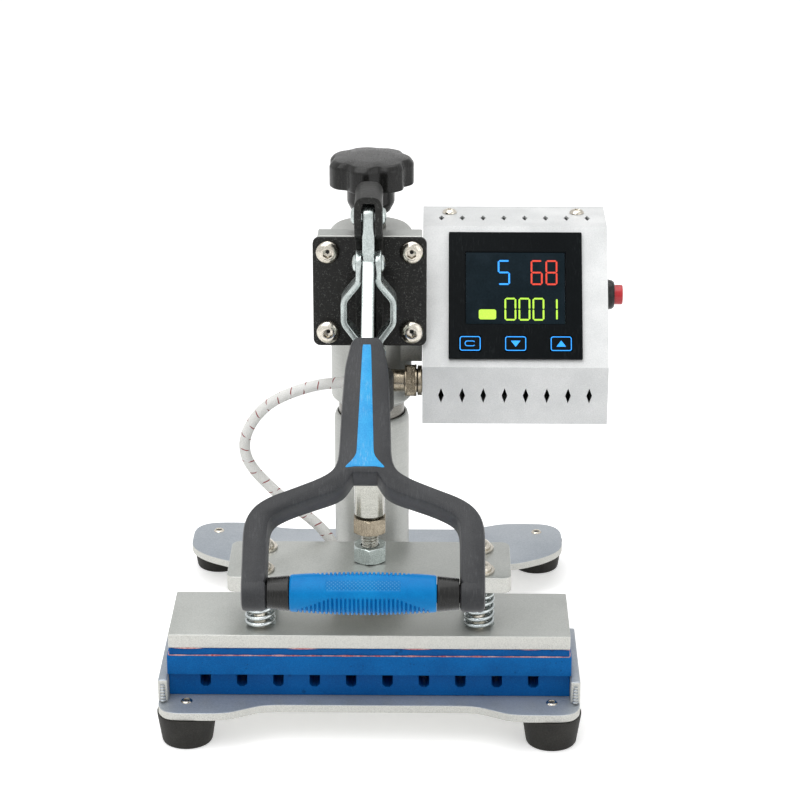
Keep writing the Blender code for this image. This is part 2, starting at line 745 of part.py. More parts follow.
def build_tray(shop):
    """The tray: an outline with ten grooves, drawn from the front."""
    foot = TRAY_FOOT
    top = TRAY_TOP
    floor = top - GROOVE_DEEP
    points = [(TRAY_HALF_X, foot), (TRAY_HALF_X, top)]
    first = (GROOVE_COUNT - 1) / 2 * GROOVE_PITCH
    for i in range(GROOVE_COUNT):
        middle = first - i * GROOVE_PITCH
        step = (GROOVE_WIDE / 2) * (1 - GROOVE_FLOOR_SHARE)
        points += [
            (middle + GROOVE_MOUTH / 2, top), (middle + GROOVE_WIDE / 2, top - GROOVE_LIP),
            (middle + GROOVE_WIDE / 2, floor + step),
            (middle + GROOVE_WIDE / 2 * GROOVE_FLOOR_SHARE, floor),
            (middle - GROOVE_WIDE / 2 * GROOVE_FLOOR_SHARE, floor),
            (middle - GROOVE_WIDE / 2, floor + step),
            (middle - GROOVE_WIDE / 2, top - GROOVE_LIP), (middle - GROOVE_MOUTH / 2, top),
        ]
    points += [(-TRAY_HALF_X, top), (-TRAY_HALF_X, foot)]
    shop.put("pen_tray", outline_mesh("pen_tray", points, TRAY_DEPTH),
             (0, TRAY_FRONT_Y + TRAY_DEPTH / 2, 0), look=BLUE, turn=FRONT)


def build_post(shop):
    """The post that turns in the column and carries the head."""
    swing = shop.empty("swing_axis", shop.root, (0, COLUMN_Y, 0))
    post = shop.put("swivel_post", turned_mesh("swivel_post", [
        (0.0, POST_THREAD_FOOT), (POST_THREAD_R, POST_THREAD_FOOT), (POST_THREAD_R, POST_TOP),
        (POST_R - EDGE_BREAK, POST_TOP), (POST_R, POST_TOP - EDGE_BREAK),
        (POST_R, COLUMN_FLOOR + GAP), (0.0, COLUMN_FLOOR + GAP)]),
        (0, COLUMN_Y, 0), swing, STEEL)
    smooth(post)
    return swing


def build_head(shop, swing):
    """The sleeve on the post with the plates that carry clamp and box."""
    head = shop.empty("head_axis", swing, (0, COLUMN_Y, 0))
    bore = POST_R + GAP
    sleeve = shop.put("head_sleeve", turned_mesh("head_sleeve", [
        (bore, SLEEVE_TOP), (SLEEVE_R, SLEEVE_TOP), (SLEEVE_R, SLEEVE_FOOT + SLEEVE_CHAMFER),
        (SLEEVE_R - SLEEVE_CHAMFER, SLEEVE_FOOT), (bore, SLEEVE_FOOT)]),
        (0, COLUMN_Y, 0), head, ALLOY)
    smooth(sleeve)
    edge = EDGE_BREAK * 3
    cap = shop.put("sleeve_cap", turned_mesh("sleeve_cap", [
        (CAP_HOLE_R, CAP_TOP), (SLEEVE_R - edge, CAP_TOP), (SLEEVE_R, CAP_TOP - edge),
        (SLEEVE_R, SLEEVE_TOP + GAP), (bore - GAP, SLEEVE_TOP + GAP), (bore - GAP, CAP_PLUG),
        (CAP_HOLE_R, CAP_PLUG)]), (0, COLUMN_Y, 0), head, ALLOY)
    smooth(cap)
    back_front = TOGGLE_FACE_Y + TOGGLE_THICK + GAP
    back_deep = BACKING_REAR_Y - back_front
    backing = shop.put("backing_plate", block_mesh(
        "backing_plate", (BACKING_HALF_X * 2, back_deep, TOGGLE_HALF * 2)),
        (0, back_front + back_deep / 2, TOGGLE_MID_Z), head, ALLOY)
    break_edges(backing, EDGE_BREAK)
    combine(backing, shop.put("cut_saddle", rod_mesh(
        "cut_saddle", SLEEVE_R + GAP, SLEEVE_TOP, FINE),
        (0, COLUMN_Y, TOGGLE_MID_Z), head), "DIFFERENCE")
    spots = [(sx * PLATE_BOLT_SPAN, 0.0, TOGGLE_MID_Z + sz * PLATE_BOLT_SPAN)
             for sx in (-1, 1) for sz in (-1, 1)]
    shank = PLATE_BOLT_END_Y - TOGGLE_FACE_Y + GAP
    combine(backing, shop.put("cut_backing_taps", rods_mesh(
        "cut_backing_taps", PLATE_BOLT_R + GAP, (shank + GAP * 2) * 2, spots, ALONG_Y, SMALL),
        (0, TOGGLE_FACE_Y, 0), head), "DIFFERENCE")
    names = ("plate_bolt_low_left", "plate_bolt_top_left", "plate_bolt_low_right",
             "plate_bolt_top_right")
    for name, (x, _, z) in zip(names, spots):
        seat = (x, TOGGLE_FACE_Y - GAP, z)
        bolt = shop.put(name, turned_mesh(name, dome_outline(
            PLATE_BOLT_HEAD_R, PLATE_BOLT_HEAD_HIGH, PLATE_BOLT_R, shank - GAP), MID),
            seat, head, STEEL, FRONT)
        combine(bolt, shop.put("cut_" + name, rod_mesh(
            "cut_" + name, SOCKET_ACROSS / 2 / math.cos(math.pi / 6), SOCKET_DEEP * 2, 6),
            (x, TOGGLE_FACE_Y - GAP - PLATE_BOLT_HEAD_HIGH, z), head, turn=FRONT),
            "DIFFERENCE")
        smooth(bolt)
    build_clamp_frame(shop, head, spots)
    build_box(shop, head)
    build_connector(shop, head)
    build_knob(shop, head)
    return head


def build_clamp_frame(shop, head, spots):
    """The bracket with its base plate, which holds handle pivot and plunger guide."""
    high = BRACKET_TOP - BRACKET_FOOT
    bracket = shop.put("toggle_bracket", block_mesh("toggle_bracket", (
        TOGGLE_HALF * 2, TOGGLE_THICK, TOGGLE_HALF * 2)),
        (0, TOGGLE_FACE_Y + TOGGLE_THICK / 2, TOGGLE_MID_Z), head, BLACK_METAL)
    break_edges(bracket, EDGE_BREAK)
    outline = [(y * TOGGLE_FACE_Y, BRACKET_FOOT + z * high) for y, z in BRACKET_SHARES]
    ears = shop.put("join_bracket_ears", outline_mesh(
        "join_bracket_ears", outline, BRACKET_HALF_X * 2), (0, 0, 0), head, turn=SIDE)
    slot_half = BRACKET_HALF_X - EAR_THICK
    slot_top = BRACKET_TOP - BRACKET_WEB
    slot_high = slot_top - BRACKET_FOOT + OVERRUN
    combine(ears, shop.put("cut_bracket_slot", block_mesh(
        "cut_bracket_slot", (slot_half * 2, TOGGLE_FACE_Y * 4, slot_high)),
        (0, 0, slot_top - slot_high / 2), head), "DIFFERENCE")
    combine(bracket, ears, "UNION")
    combine(bracket, shop.put("cut_toggle_holes", rods_mesh(
        "cut_toggle_holes", PLATE_BOLT_R + GAP, OVERRUN * 2, spots, ALONG_Y, SMALL),
        (0, TOGGLE_FACE_Y, 0), head), "DIFFERENCE")
    combine(bracket, shop.put("cut_pivot_hole", rod_mesh(
        "cut_pivot_hole", PIN_R + GAP, BRACKET_HALF_X * 3, SMALL),
        (0, 0, PIVOT_Z), head, turn=ALONG_X), "DIFFERENCE")
    bore = PLUNGER_R + GAP
    guide = shop.put("plunger_guide", turned_mesh("plunger_guide", [
        (bore, GUIDE_TOP), (GUIDE_R - GUIDE_ROUND, GUIDE_TOP),
        (GUIDE_R - GUIDE_ROUND * 0.3, GUIDE_TOP - GUIDE_ROUND * 0.3),
        (GUIDE_R, GUIDE_TOP - GUIDE_ROUND), (GUIDE_R, GUIDE_FOOT + GUIDE_ROUND),
        (GUIDE_R - GUIDE_ROUND * 0.3, GUIDE_FOOT + GUIDE_ROUND * 0.3),
        (GUIDE_R - GUIDE_ROUND, GUIDE_FOOT), (bore, GUIDE_FOOT)]), (0, 0, 0), head, BLACK_METAL)
    tongue_front = (GUIDE_R + bore) / 2
    tongue_rear = TOGGLE_FACE_Y - GAP * 2
    combine(guide, shop.put("join_guide_tongue", block_mesh("join_guide_tongue", (
        (slot_half - GAP) * 2, tongue_rear - tongue_front,
        GUIDE_TONGUE_TOP - GUIDE_TONGUE_FOOT)),
        (0, (tongue_rear + tongue_front) / 2, (GUIDE_TONGUE_TOP + GUIDE_TONGUE_FOOT) / 2),
        head), "UNION")
    smooth(guide)
    pin = shop.put("pivot_pin", turned_mesh("pivot_pin", pin_outline(
        PIN_R, (BRACKET_HALF_X + GAP) * 2, PIN_HEAD_R, PIN_HEAD_HIGH), SMALL),
        (0, 0, PIVOT_Z), head, STEEL, ALONG_X)
    smooth(pin)


def panel_frame():
    """Top edge of the sloped panel, its way down and its way out, in Y and Z."""
    top = Vector((0, BOX_FRONT_Y + BOX_SHARES[2][0] * BOX_DEPTH, BOX_FOOT + BOX_SHARES[2][1] * BOX_HIGH))
    low = Vector((0, BOX_FRONT_Y + BOX_SHARES[1][0] * BOX_DEPTH, BOX_FOOT + BOX_SHARES[1][1] * BOX_HIGH))
    down = (low - top).normalized()
    out = Vector((0, down.z, -down.y))
    turn = Matrix((Vector((1, 0, 0)), -down, out)).transposed()
    return top, down, out, turn


def build_box(shop, head):
    """The control box beside the sleeve with display, keys, button and inlet."""
    mid_x = BOX_LEFT + BOX_WIDE / 2
    outline = [(BOX_FRONT_Y + y * BOX_DEPTH, BOX_FOOT + z * BOX_HIGH) for y, z in BOX_SHARES]
    shell = shop.put("box_shell", outline_mesh("box_shell", outline, BOX_WIDE),
                     (mid_x, 0, 0), head, BOX_PAINT, SIDE)
    rear = BOX_REAR_Y
    top, down, out, turn = panel_frame()
    inner = [
        (outline[0][0] + BOX_WALL, BOX_FOOT + BOX_WALL),
        (outline[1][0] + BOX_WALL * 1.12, outline[1][1] - BOX_WALL * 0.25),
        (outline[2][0] + BOX_WALL * 0.68, outline[2][1] - BOX_WALL),
        (rear + OVERRUN, outline[3][1] - BOX_WALL), (rear + OVERRUN, BOX_FOOT + BOX_WALL),
    ]
    combine(shell, shop.put("cut_box_inside", outline_mesh(
        "cut_box_inside", inner, BOX_WIDE - BOX_WALL * 2), (mid_x, 0, 0), head, turn=SIDE),
        "DIFFERENCE")
    first = mid_x - (VENT_COUNT - 1) / 2 * VENT_PITCH
    diamond = [(0.0, VENT_LONG / 2), (-VENT_WIDE / 2, 0.0), (0.0, -VENT_LONG / 2),
               (VENT_WIDE / 2, 0.0)]
    front_mid_y = (outline[0][0] + outline[1][0]) / 2
    front_mid_z = (outline[0][1] + outline[1][1]) / 2
    for name, frame, place in (
            ("cut_top_vents", FLAT, (TOP_VENT_Y, BOX_FOOT + BOX_HIGH)),
            ("cut_front_vents", FRONT, (front_mid_y, front_mid_z))):
        one = outline_mesh(name + "_one", diamond, OVERRUN * 2)
        tool = copies_mesh(name, one, [
            at(first + i * VENT_PITCH, *place) @ frame.to_4x4() for i in range(VENT_COUNT)])
        combine(shell, shop.put(name, tool, (0, 0, 0), head), "DIFFERENCE")
    window = top + down * WINDOW_DOWN + Vector((mid_x, 0, 0))
    combine(shell, shop.put("cut_window", block_mesh("cut_window", (
        WINDOW_WIDE, WINDOW_HIGH, BOX_WALL * 4)), window, head, turn=turn), "DIFFERENCE")
    wall_x = BOX_RIGHT
    side_holes = (
        ("cut_button_hole", BUTTON_BODY_R + GAP, (wall_x, BUTTON_Y, BUTTON_Z)),
        ("cut_socket_hole", SOCKET_TAIL_R + GAP, (BOX_LEFT, PLUG_Y, PLUG_Z)),
    )
    for name, radius, spot in side_holes:
        combine(shell, shop.put(name, rod_mesh(name, radius, OVERRUN * 2, MID), spot, head,
                                turn=ALONG_X), "DIFFERENCE")
    build_back(shop, head, mid_x, rear)
    brace_wide = BOX_LEFT - GAP - BRACE_INNER_X
    brace = shop.put("box_brace", block_mesh("box_brace", (
        brace_wide, BRACE_HALF_Y * 2, BRACE_TOP - BRACE_FOOT)),
        (BRACE_INNER_X + brace_wide / 2, COLUMN_Y, (BRACE_TOP + BRACE_FOOT) / 2), head, ALLOY)
    combine(brace, shop.put("cut_brace_saddle", rod_mesh(
        "cut_brace_saddle", SLEEVE_R + GAP, SLEEVE_TOP, FINE),
        (0, COLUMN_Y, BRACE_TOP), head), "DIFFERENCE")
    build_panel(shop, head, mid_x, top, down, out, turn)
    build_button(shop, head, wall_x)
    board = shop.put("control_board", block_mesh("control_board", (
        BOARD_WIDE, BOARD_THICK, BOARD_HIGH)), (mid_x, BOARD_Y, BOARD_MID_Z), head, GREEN)
    for name, size, shift in (
            ("join_relay", (RELAY_WIDE, RELAY_DEEP, RELAY_HIGH), (-PART_SHIFT, PART_SHIFT / 4)),
            ("join_coil", (COIL_WIDE, COIL_DEEP, COIL_HIGH), (PART_SHIFT, 0.0))):
        combine(board, shop.put(name, block_mesh(name, size), (
            mid_x + shift[0], BOARD_Y - size[1] / 2, BOARD_MID_Z + shift[1]), head), "UNION")
    long = rear - BOARD_Y
    posts = [(mid_x + sx * (BOARD_WIDE / 2 - STANDOFF_INSET), BOARD_Y + long / 2,
              BOARD_MID_Z + sz * (BOARD_HIGH / 2 - STANDOFF_INSET))
             for sx in (-1, 1) for sz in (-1, 1)]
    combine(board, shop.put("join_standoffs", rods_mesh(
        "join_standoffs", STANDOFF_R, long, posts, ALONG_Y, SMALL), (0, 0, 0), head), "UNION")


def build_back(shop, head, mid_x, rear):
    """The rear panel with its lip and the mains inlet."""
    mid_z = BOX_FOOT + BOX_HIGH / 2
    panel = shop.put("box_back", block_mesh("box_back", (BOX_WIDE, BACK_THICK, BOX_HIGH)),
                     (mid_x, rear + GAP + BACK_THICK / 2, mid_z), head, BOX_PAINT)
    lip_z = BOX_FOOT + BOX_HIGH - BOX_WALL - GAP - BACK_THICK / 2
    lip_deep = LIP_LONG + GAP + BACK_THICK / 2
    combine(panel, shop.put("join_back_lip", block_mesh("join_back_lip", (
        BOX_WIDE - BOX_WALL * 4, lip_deep, BACK_THICK)),
        (mid_x, rear - LIP_LONG + lip_deep / 2, lip_z), head), "UNION")
    hole = (INLET_WIDE + GAP * 2, OVERRUN * 2, INLET_HIGH + GAP * 2)
    combine(panel, shop.put("cut_inlet_hole", block_mesh("cut_inlet_hole", hole),
                            (INLET_X, rear, INLET_Z), head), "DIFFERENCE")
    back_face = rear + GAP + BACK_THICK
    inlet = shop.put("mains_inlet", block_mesh("mains_inlet", (
        INLET_WIDE, INLET_LONG, INLET_HIGH)),
        (INLET_X, back_face + INLET_FLANGE_THICK - INLET_LONG / 2, INLET_Z), head, PLASTIC)
    combine(inlet, shop.put("join_inlet_flange", block_mesh("join_inlet_flange", (
        INLET_WIDE + INLET_FLANGE * 2, INLET_FLANGE_THICK - GAP, INLET_HIGH + INLET_FLANGE * 2)),
        (INLET_X, back_face + (INLET_FLANGE_THICK + GAP) / 2, INLET_Z), head), "UNION")
    cavity_rear = back_face + INLET_FLANGE_THICK
    combine(inlet, shop.put("cut_inlet_cavity", block_mesh("cut_inlet_cavity", (
        INLET_WIDE - INLET_WALL * 2, INLET_CAVITY * 2, INLET_HIGH - INLET_WALL * 2)),
        (INLET_X, cavity_rear, INLET_Z), head), "DIFFERENCE")
    blade_y = cavity_rear - INLET_CAVITY - GAP + INLET_BLADE_LONG / 2
    blade = (INLET_BLADE_THICK, INLET_BLADE_LONG, INLET_BLADE_HIGH)
    blades = [((x, blade_y, z), blade) for x, z in (
        (INLET_X - INLET_BLADE_SPREAD, INLET_Z - INLET_EARTH_LIFT / 2),
        (INLET_X, INLET_Z + INLET_EARTH_LIFT / 2),
        (INLET_X + INLET_BLADE_SPREAD, INLET_Z - INLET_EARTH_LIFT / 2))]
    combine(inlet, shop.put("join_inlet_blades", blocks_mesh("join_inlet_blades", blades),
                            (0, 0, 0), head), "UNION")


def build_panel(shop, head, mid_x, top, down, out, turn):
    """Bezel, display glass and the three keys on the sloped face."""
    centre = Vector((mid_x, 0, 0)) + top + down * BEZEL_DOWN
    bezel = shop.put("display_bezel", block_mesh("display_bezel", (
        BEZEL_WIDE, BEZEL_HIGH, BEZEL_THICK)), centre + out * (GAP + BEZEL_THICK / 2), head,
        PLASTIC, turn)
    window = Vector((mid_x, 0, 0)) + top + down * WINDOW_DOWN
    combine(bezel, shop.put("cut_bezel_window", block_mesh("cut_bezel_window", (
        WINDOW_WIDE, WINDOW_HIGH, BEZEL_THICK * 4)), window, head, turn=turn), "DIFFERENCE")
    keys = {"key_set": -1, "key_down": 0, "key_up": 1}
    row = Vector((mid_x, 0, 0)) + top + down * KEY_DOWN
    key_top = GAP + BEZEL_THICK + KEY_PROUD
    floor = key_top - KEY_THICK - KEY_TRAVEL - GAP
    window_deep = key_top + OVERRUN - floor
    tool = blocks_mesh("cut_key_windows", [
        ((i * KEY_PITCH, 0.0, 0.0), (KEY_WIDE, KEY_HIGH, window_deep)) for i in keys.values()])
    combine(bezel, shop.put("cut_key_windows", tool, row + out * (floor + window_deep / 2),
                            head, turn=turn), "DIFFERENCE")
    break_edges(bezel, EDGE_BREAK)
    glass_top = GAP + BEZEL_THICK - GLASS_SINK
    glass = shop.put("display_glass", block_mesh("display_glass", (
        WINDOW_WIDE - GAP * 2, WINDOW_HIGH - GAP * 2, GLASS_THICK)),
        window + out * (glass_top - GLASS_THICK / 2), head, PLASTIC, turn)
    combine(glass, shop.put("join_display_back", block_mesh("join_display_back", (
        WINDOW_WIDE + BOX_WALL * 4, WINDOW_HIGH + BOX_WALL * 4, BOX_WALL)),
        window + out * (-BOX_WALL - GAP - BOX_WALL / 2), head, turn=turn), "UNION")
    for name, i in keys.items():
        key = shop.put(name, block_mesh(name, (
            KEY_WIDE - GAP * 2, KEY_HIGH - GAP * 2, KEY_THICK)),
            row + Vector((i * KEY_PITCH, 0, 0)) + out * (key_top - KEY_THICK / 2), head,
            PLASTIC, turn)
        break_edges(key, EDGE_BREAK / 2)


def build_button(shop, head, wall_x):
    """The red push button in its ring."""
    spot = (wall_x, BUTTON_Y, BUTTON_Z)
    bore = BUTTON_R + GAP
    ring = shop.put("button_ring", turned_mesh("button_ring", [
        (bore, GAP + BUTTON_RING_HIGH), (BUTTON_RING_R - EDGE_BREAK, GAP + BUTTON_RING_HIGH),
        (BUTTON_RING_R, GAP + BUTTON_RING_HIGH - EDGE_BREAK), (BUTTON_RING_R, GAP),
        (BUTTON_BODY_R, GAP), (BUTTON_BODY_R, -BUTTON_BODY_LONG), (bore, -BUTTON_BODY_LONG)],
        MID), spot, head, PLASTIC, ALONG_X)
    smooth(ring)
    push = shop.empty("button_axis", head, spot)
    face = GAP + BUTTON_RING_HIGH + BUTTON_PROUD
    button = shop.put("power_button", turned_mesh("power_button", [
        (0.0, face), (BUTTON_R - EDGE_BREAK * 2, face), (BUTTON_R, face - EDGE_BREAK * 2),
        (BUTTON_R, -BUTTON_TAIL), (0.0, -BUTTON_TAIL)], MID), spot, push, RED, ALONG_X)
    smooth(button)


def build_connector(shop, head):
    """Panel socket, screw ring and plug of the heater, with the cable."""
    outward = Matrix(((0, 0, -1), (0, 1, 0), (1, 0, 0)))
    spot = (BOX_LEFT, PLUG_Y, PLUG_Z)
    flange = GAP + SOCKET_FLANGE_THICK
    barrel = flange + SOCKET_BARREL_LONG
    bore_floor = barrel - PLUG_NOSE_IN - GAP
    tail = BOX_WALL + SOCKET_TAIL_LONG
    socket = shop.put("connector_socket", turned_mesh("connector_socket", [
        (0.0, bore_floor), (SOCKET_BORE_R, bore_floor), (SOCKET_BORE_R, barrel),
        (SOCKET_BARREL_R, barrel), (SOCKET_BARREL_R, flange), (SOCKET_FLANGE_R, flange),
        (SOCKET_FLANGE_R, GAP), (SOCKET_TAIL_R, GAP), (SOCKET_TAIL_R, -tail), (0.0, -tail)],
        MID), spot, head, STEEL, outward)
    smooth(socket)
    start = RING_START
    end = start + RING_LONG
    ring = shop.put("connector_ring", turned_mesh("connector_ring", [
        (RING_LIP_BORE, end), (RING_R - EDGE_BREAK, end), (RING_R, end - EDGE_BREAK),
        (RING_R, start + EDGE_BREAK), (RING_R - EDGE_BREAK, start),
        (SOCKET_BARREL_R + GAP, start), (SOCKET_BARREL_R + GAP, end - RING_LIP),
        (RING_LIP_BORE, end - RING_LIP)], MID), spot, head, STEEL, outward)
    smooth(ring)
    nose = bore_floor + GAP
    shoulder = end + GAP
    tip = shoulder + PLUG_TAIL_LONG
    plug = shop.put("connector_plug", turned_mesh("connector_plug", [
        (0.0, tip), (PLUG_TAIL_R - EDGE_BREAK * 3, tip), (PLUG_TAIL_R, tip - EDGE_BREAK * 3),
        (PLUG_TAIL_R, shoulder), (PLUG_NOSE_R, shoulder), (PLUG_NOSE_R, nose), (0.0, nose)],
        MID), spot, head, STEEL, outward)
    smooth(plug)
    start_x = BOX_LEFT - tip - GAP
    path = [(start_x, PLUG_Y, PLUG_Z)] + list(CABLE_ROUTE)
    cable = shop.put("heater_cable", tube_mesh("heater_cable", path, CABLE_R),
                     (0, 0, 0), head, WHITE)
    smooth(cable, math.radians(60.0))


def build_knob(shop, head):
    """The star knob and the adjusting screw it turns."""
    turn_axis = shop.empty("knob_axis", head, (0, COLUMN_Y, 0))
    count = KNOB_LOBES * 8
    points = []
    for i in range(count):
        angle = 2 * math.pi * i / count
        wave = (1 + math.cos(KNOB_LOBES * angle)) / 2
        radius = KNOB_R - KNOB_VALLEY * (1 - wave) ** 2
        points.append((radius * math.cos(angle), radius * math.sin(angle)))
    rim = KNOB_TOP - KNOB_RIM_FOOT
    knob = shop.put("star_knob", outline_mesh("star_knob", points, rim),
                    (0, COLUMN_Y, KNOB_RIM_FOOT + rim / 2), turn_axis, PLASTIC)
    break_edges(knob, KNOB_BEVEL, 2, math.radians(60.0))
    combine(knob, shop.put("join_knob_hub", turned_mesh("join_knob_hub", [
        (0.0, KNOB_RIM_FOOT + rim / 2), (KNOB_HUB_R, KNOB_RIM_FOOT + rim / 2),
        (KNOB_HUB_R, KNOB_HUB_FOOT + KNOB_HUB_TAPER * 2),
        (KNOB_HUB_R - KNOB_HUB_TAPER, KNOB_HUB_FOOT), (0.0, KNOB_HUB_FOOT)], MID),
        (0, COLUMN_Y, 0), turn_axis), "UNION")
    bore = SCREW_R + GAP
    bore_top = SCREW_TOP + GAP
    combine(knob, shop.put("cut_knob_bore", rod_mesh(
        "cut_knob_bore", bore, (bore_top - KNOB_HUB_FOOT) * 2, SMALL),
        (0, COLUMN_Y, KNOB_HUB_FOOT), turn_axis), "DIFFERENCE")
    smooth(knob)
    clip_top = CAP_PLUG - GAP
    collar = CAP_TOP + GAP
    screw = shop.put("adjusting_screw", turned_mesh("adjusting_screw", [
        (0.0, SCREW_TOP), (SCREW_R, SCREW_TOP), (SCREW_R, SCREW_COLLAR_TOP),
        (SCREW_COLLAR_R, SCREW_COLLAR_TOP), (SCREW_COLLAR_R, collar), (SCREW_R, collar),
        (SCREW_R, clip_top), (SCREW_CLIP_R, clip_top), (SCREW_CLIP_R, SCREW_CLIP_FOOT),
        (SCREW_R, SCREW_CLIP_FOOT), (SCREW_R, SCREW_FOOT), (0.0, SCREW_FOOT)], SMALL),
        (0, COLUMN_Y, 0), turn_axis, STEEL)
    smooth(screw)


def lean_frame():
    """The leaning handle's frame at the link pin: X across, then along, then to the back."""
    along = Vector((0, -math.sin(LEAN), -math.cos(LEAN)))
    back = Vector((0, math.cos(LEAN), -math.sin(LEAN)))
    turn = Matrix((Vector((1, 0, 0)), along, back)).transposed()
    return Vector((0, 0, LINK_TOP_Z)), along, back, turn


def build_handle(shop, head):
    """Handle bar, fork, inlay and grip: all that swings on the pivot pin."""
    swing = shop.empty("handle_axis", head, (0, 0, PIVOT_Z))
    origin, along, back, turn = lean_frame()
    half = BAR_HALF_WIDE
    reach = origin + along * BAR_REACH
    knee_front = half * math.tan(LEAN / 2)
    outline = round_end((0.0, PIVOT_Z), half, 0, 180)
    outline += [(-half, LINK_TOP_Z + knee_front)]
    outline += [(reach.y - back.y * half, reach.z - back.z * half),
                (reach.y + back.y * half, reach.z + back.z * half)]
    outline += [(half, LINK_TOP_Z - knee_front)]
    bar = shop.put("handle_bar", outline_mesh("handle_bar", outline, BAR_HALF_X * 2),
                   (0, 0, 0), swing, ZINC, SIDE)
    break_edges(bar, EDGE_BREAK)
    for name, z in (("cut_bar_pivot", PIVOT_Z), ("cut_bar_link", LINK_TOP_Z)):
        combine(bar, shop.put(name, rod_mesh(name, PIN_R + GAP, BAR_HALF_X * 4, SMALL),
                              (0, 0, z), swing, turn=ALONG_X), "DIFFERENCE")
    fork = shop.put("handle_fork", outline_mesh("handle_fork", mirrored_outline(
        FORK_SHARES, FORK_HALF_X, FORK_TOP, FORK_LENGTH), FORK_THICK), origin, swing,
        DARK_GREY, turn)
    break_edges(fork, FORK_CHAMFER, 1, math.radians(62.0))
    grip_at = origin + along * (FORK_TOP + FORK_LENGTH)
    for name, sign in (("join_arm_end_left", -1), ("join_arm_end_right", 1)):
        end = shop.put(name, rod_mesh(name, FORK_THICK / 2, FORK_ARM, FINE), grip_at + Vector((
            sign * (FORK_HALF_X - FORK_ARM / 2), 0, 0)), swing, turn=ALONG_X)
        break_edges(end, FORK_CHAMFER, 1, math.radians(62.0))
        combine(fork, end, "UNION")
    slot_long = BAR_REACH - FORK_TOP + OVERRUN
    combine(fork, shop.put("cut_bar_slot", block_mesh("cut_bar_slot", (
        (BAR_HALF_X + GAP) * 2, slot_long, (half + GAP) * 2)),
        origin + along * (BAR_REACH + GAP - slot_long / 2), swing, turn=turn), "DIFFERENCE")
    inlay = mirrored_outline(INLAY_SHARES, INLAY_HALF_X, INLAY_TOP, INLAY_LENGTH)
    recess = grown(inlay, GAP)
    face = origin - back * (FORK_THICK / 2)
    combine(fork, shop.put("cut_inlay", outline_mesh("cut_inlay", recess, INLAY_RECESS * 2),
                           face, swing, turn=turn), "DIFFERENCE")
    combine(fork, shop.put("cut_core_holes", rod_mesh(
        "cut_core_holes", GRIP_CORE_R + GAP, (FORK_HALF_X - FORK_ARM / 3) * 2, MID),
        grip_at, swing, turn=ALONG_X), "DIFFERENCE")
    smooth(fork, math.radians(30.0))
    lift = INLAY_THICK / 2 - INLAY_RECESS + GAP
    shop.put("fork_inlay", outline_mesh("fork_inlay", inlay, INLAY_THICK),
             face - back * lift, swing, BLUE, turn)
    build_grip(shop, swing, grip_at)
    pin = shop.put("link_pin", turned_mesh("link_pin", pin_outline(
        PIN_R, (LINK_TOP_IN + LINK_THICK + GAP) * 2, PIN_HEAD_R, PIN_HEAD_HIGH), SMALL),
        (0, 0, LINK_TOP_Z), swing, STEEL, ALONG_X)
    smooth(pin)
    build_links(shop, swing)


def build_grip(shop, swing, grip_at):
    """The cross bar with its ribbed rubber and end collars."""
    inner = FORK_HALF_X - FORK_ARM
    reach = FORK_HALF_X - FORK_ARM / 3 - GAP
    start = GRIP_HALF + GAP
    end = inner - GAP
    half = [(0.0, reach), (GRIP_CORE_R, reach), (GRIP_CORE_R, end), (COLLAR_ARM_R, end),
            (COLLAR_GRIP_R, start + EDGE_BREAK), (COLLAR_GRIP_R - EDGE_BREAK, start),
            (GRIP_CORE_R, start)]
    bar = shop.put("grip_bar", turned_mesh("grip_bar", half + [
        (radius, -height) for radius, height in reversed(half)], MID), grip_at, swing, PLASTIC,
        ALONG_X)
    smooth(bar)
    bore = GRIP_CORE_R + GAP
    points = [(bore, GRIP_HALF)]
    steps = GRIP_RIBS * 2
    for i in range(steps + 1):
        place = 1 - 2 * i / steps
        swell = GRIP_MID_R - (GRIP_MID_R - GRIP_END_R) * place * place
        points.append((swell - GRIP_RIB_DEEP * (i % 2), GRIP_HALF * place))
    points.append((bore, -GRIP_HALF))
    sleeve = shop.put("grip_sleeve", turned_mesh("grip_sleeve", points, MID),
                      grip_at, swing, BLUE, ALONG_X)
    smooth(sleeve, math.radians(20.0))


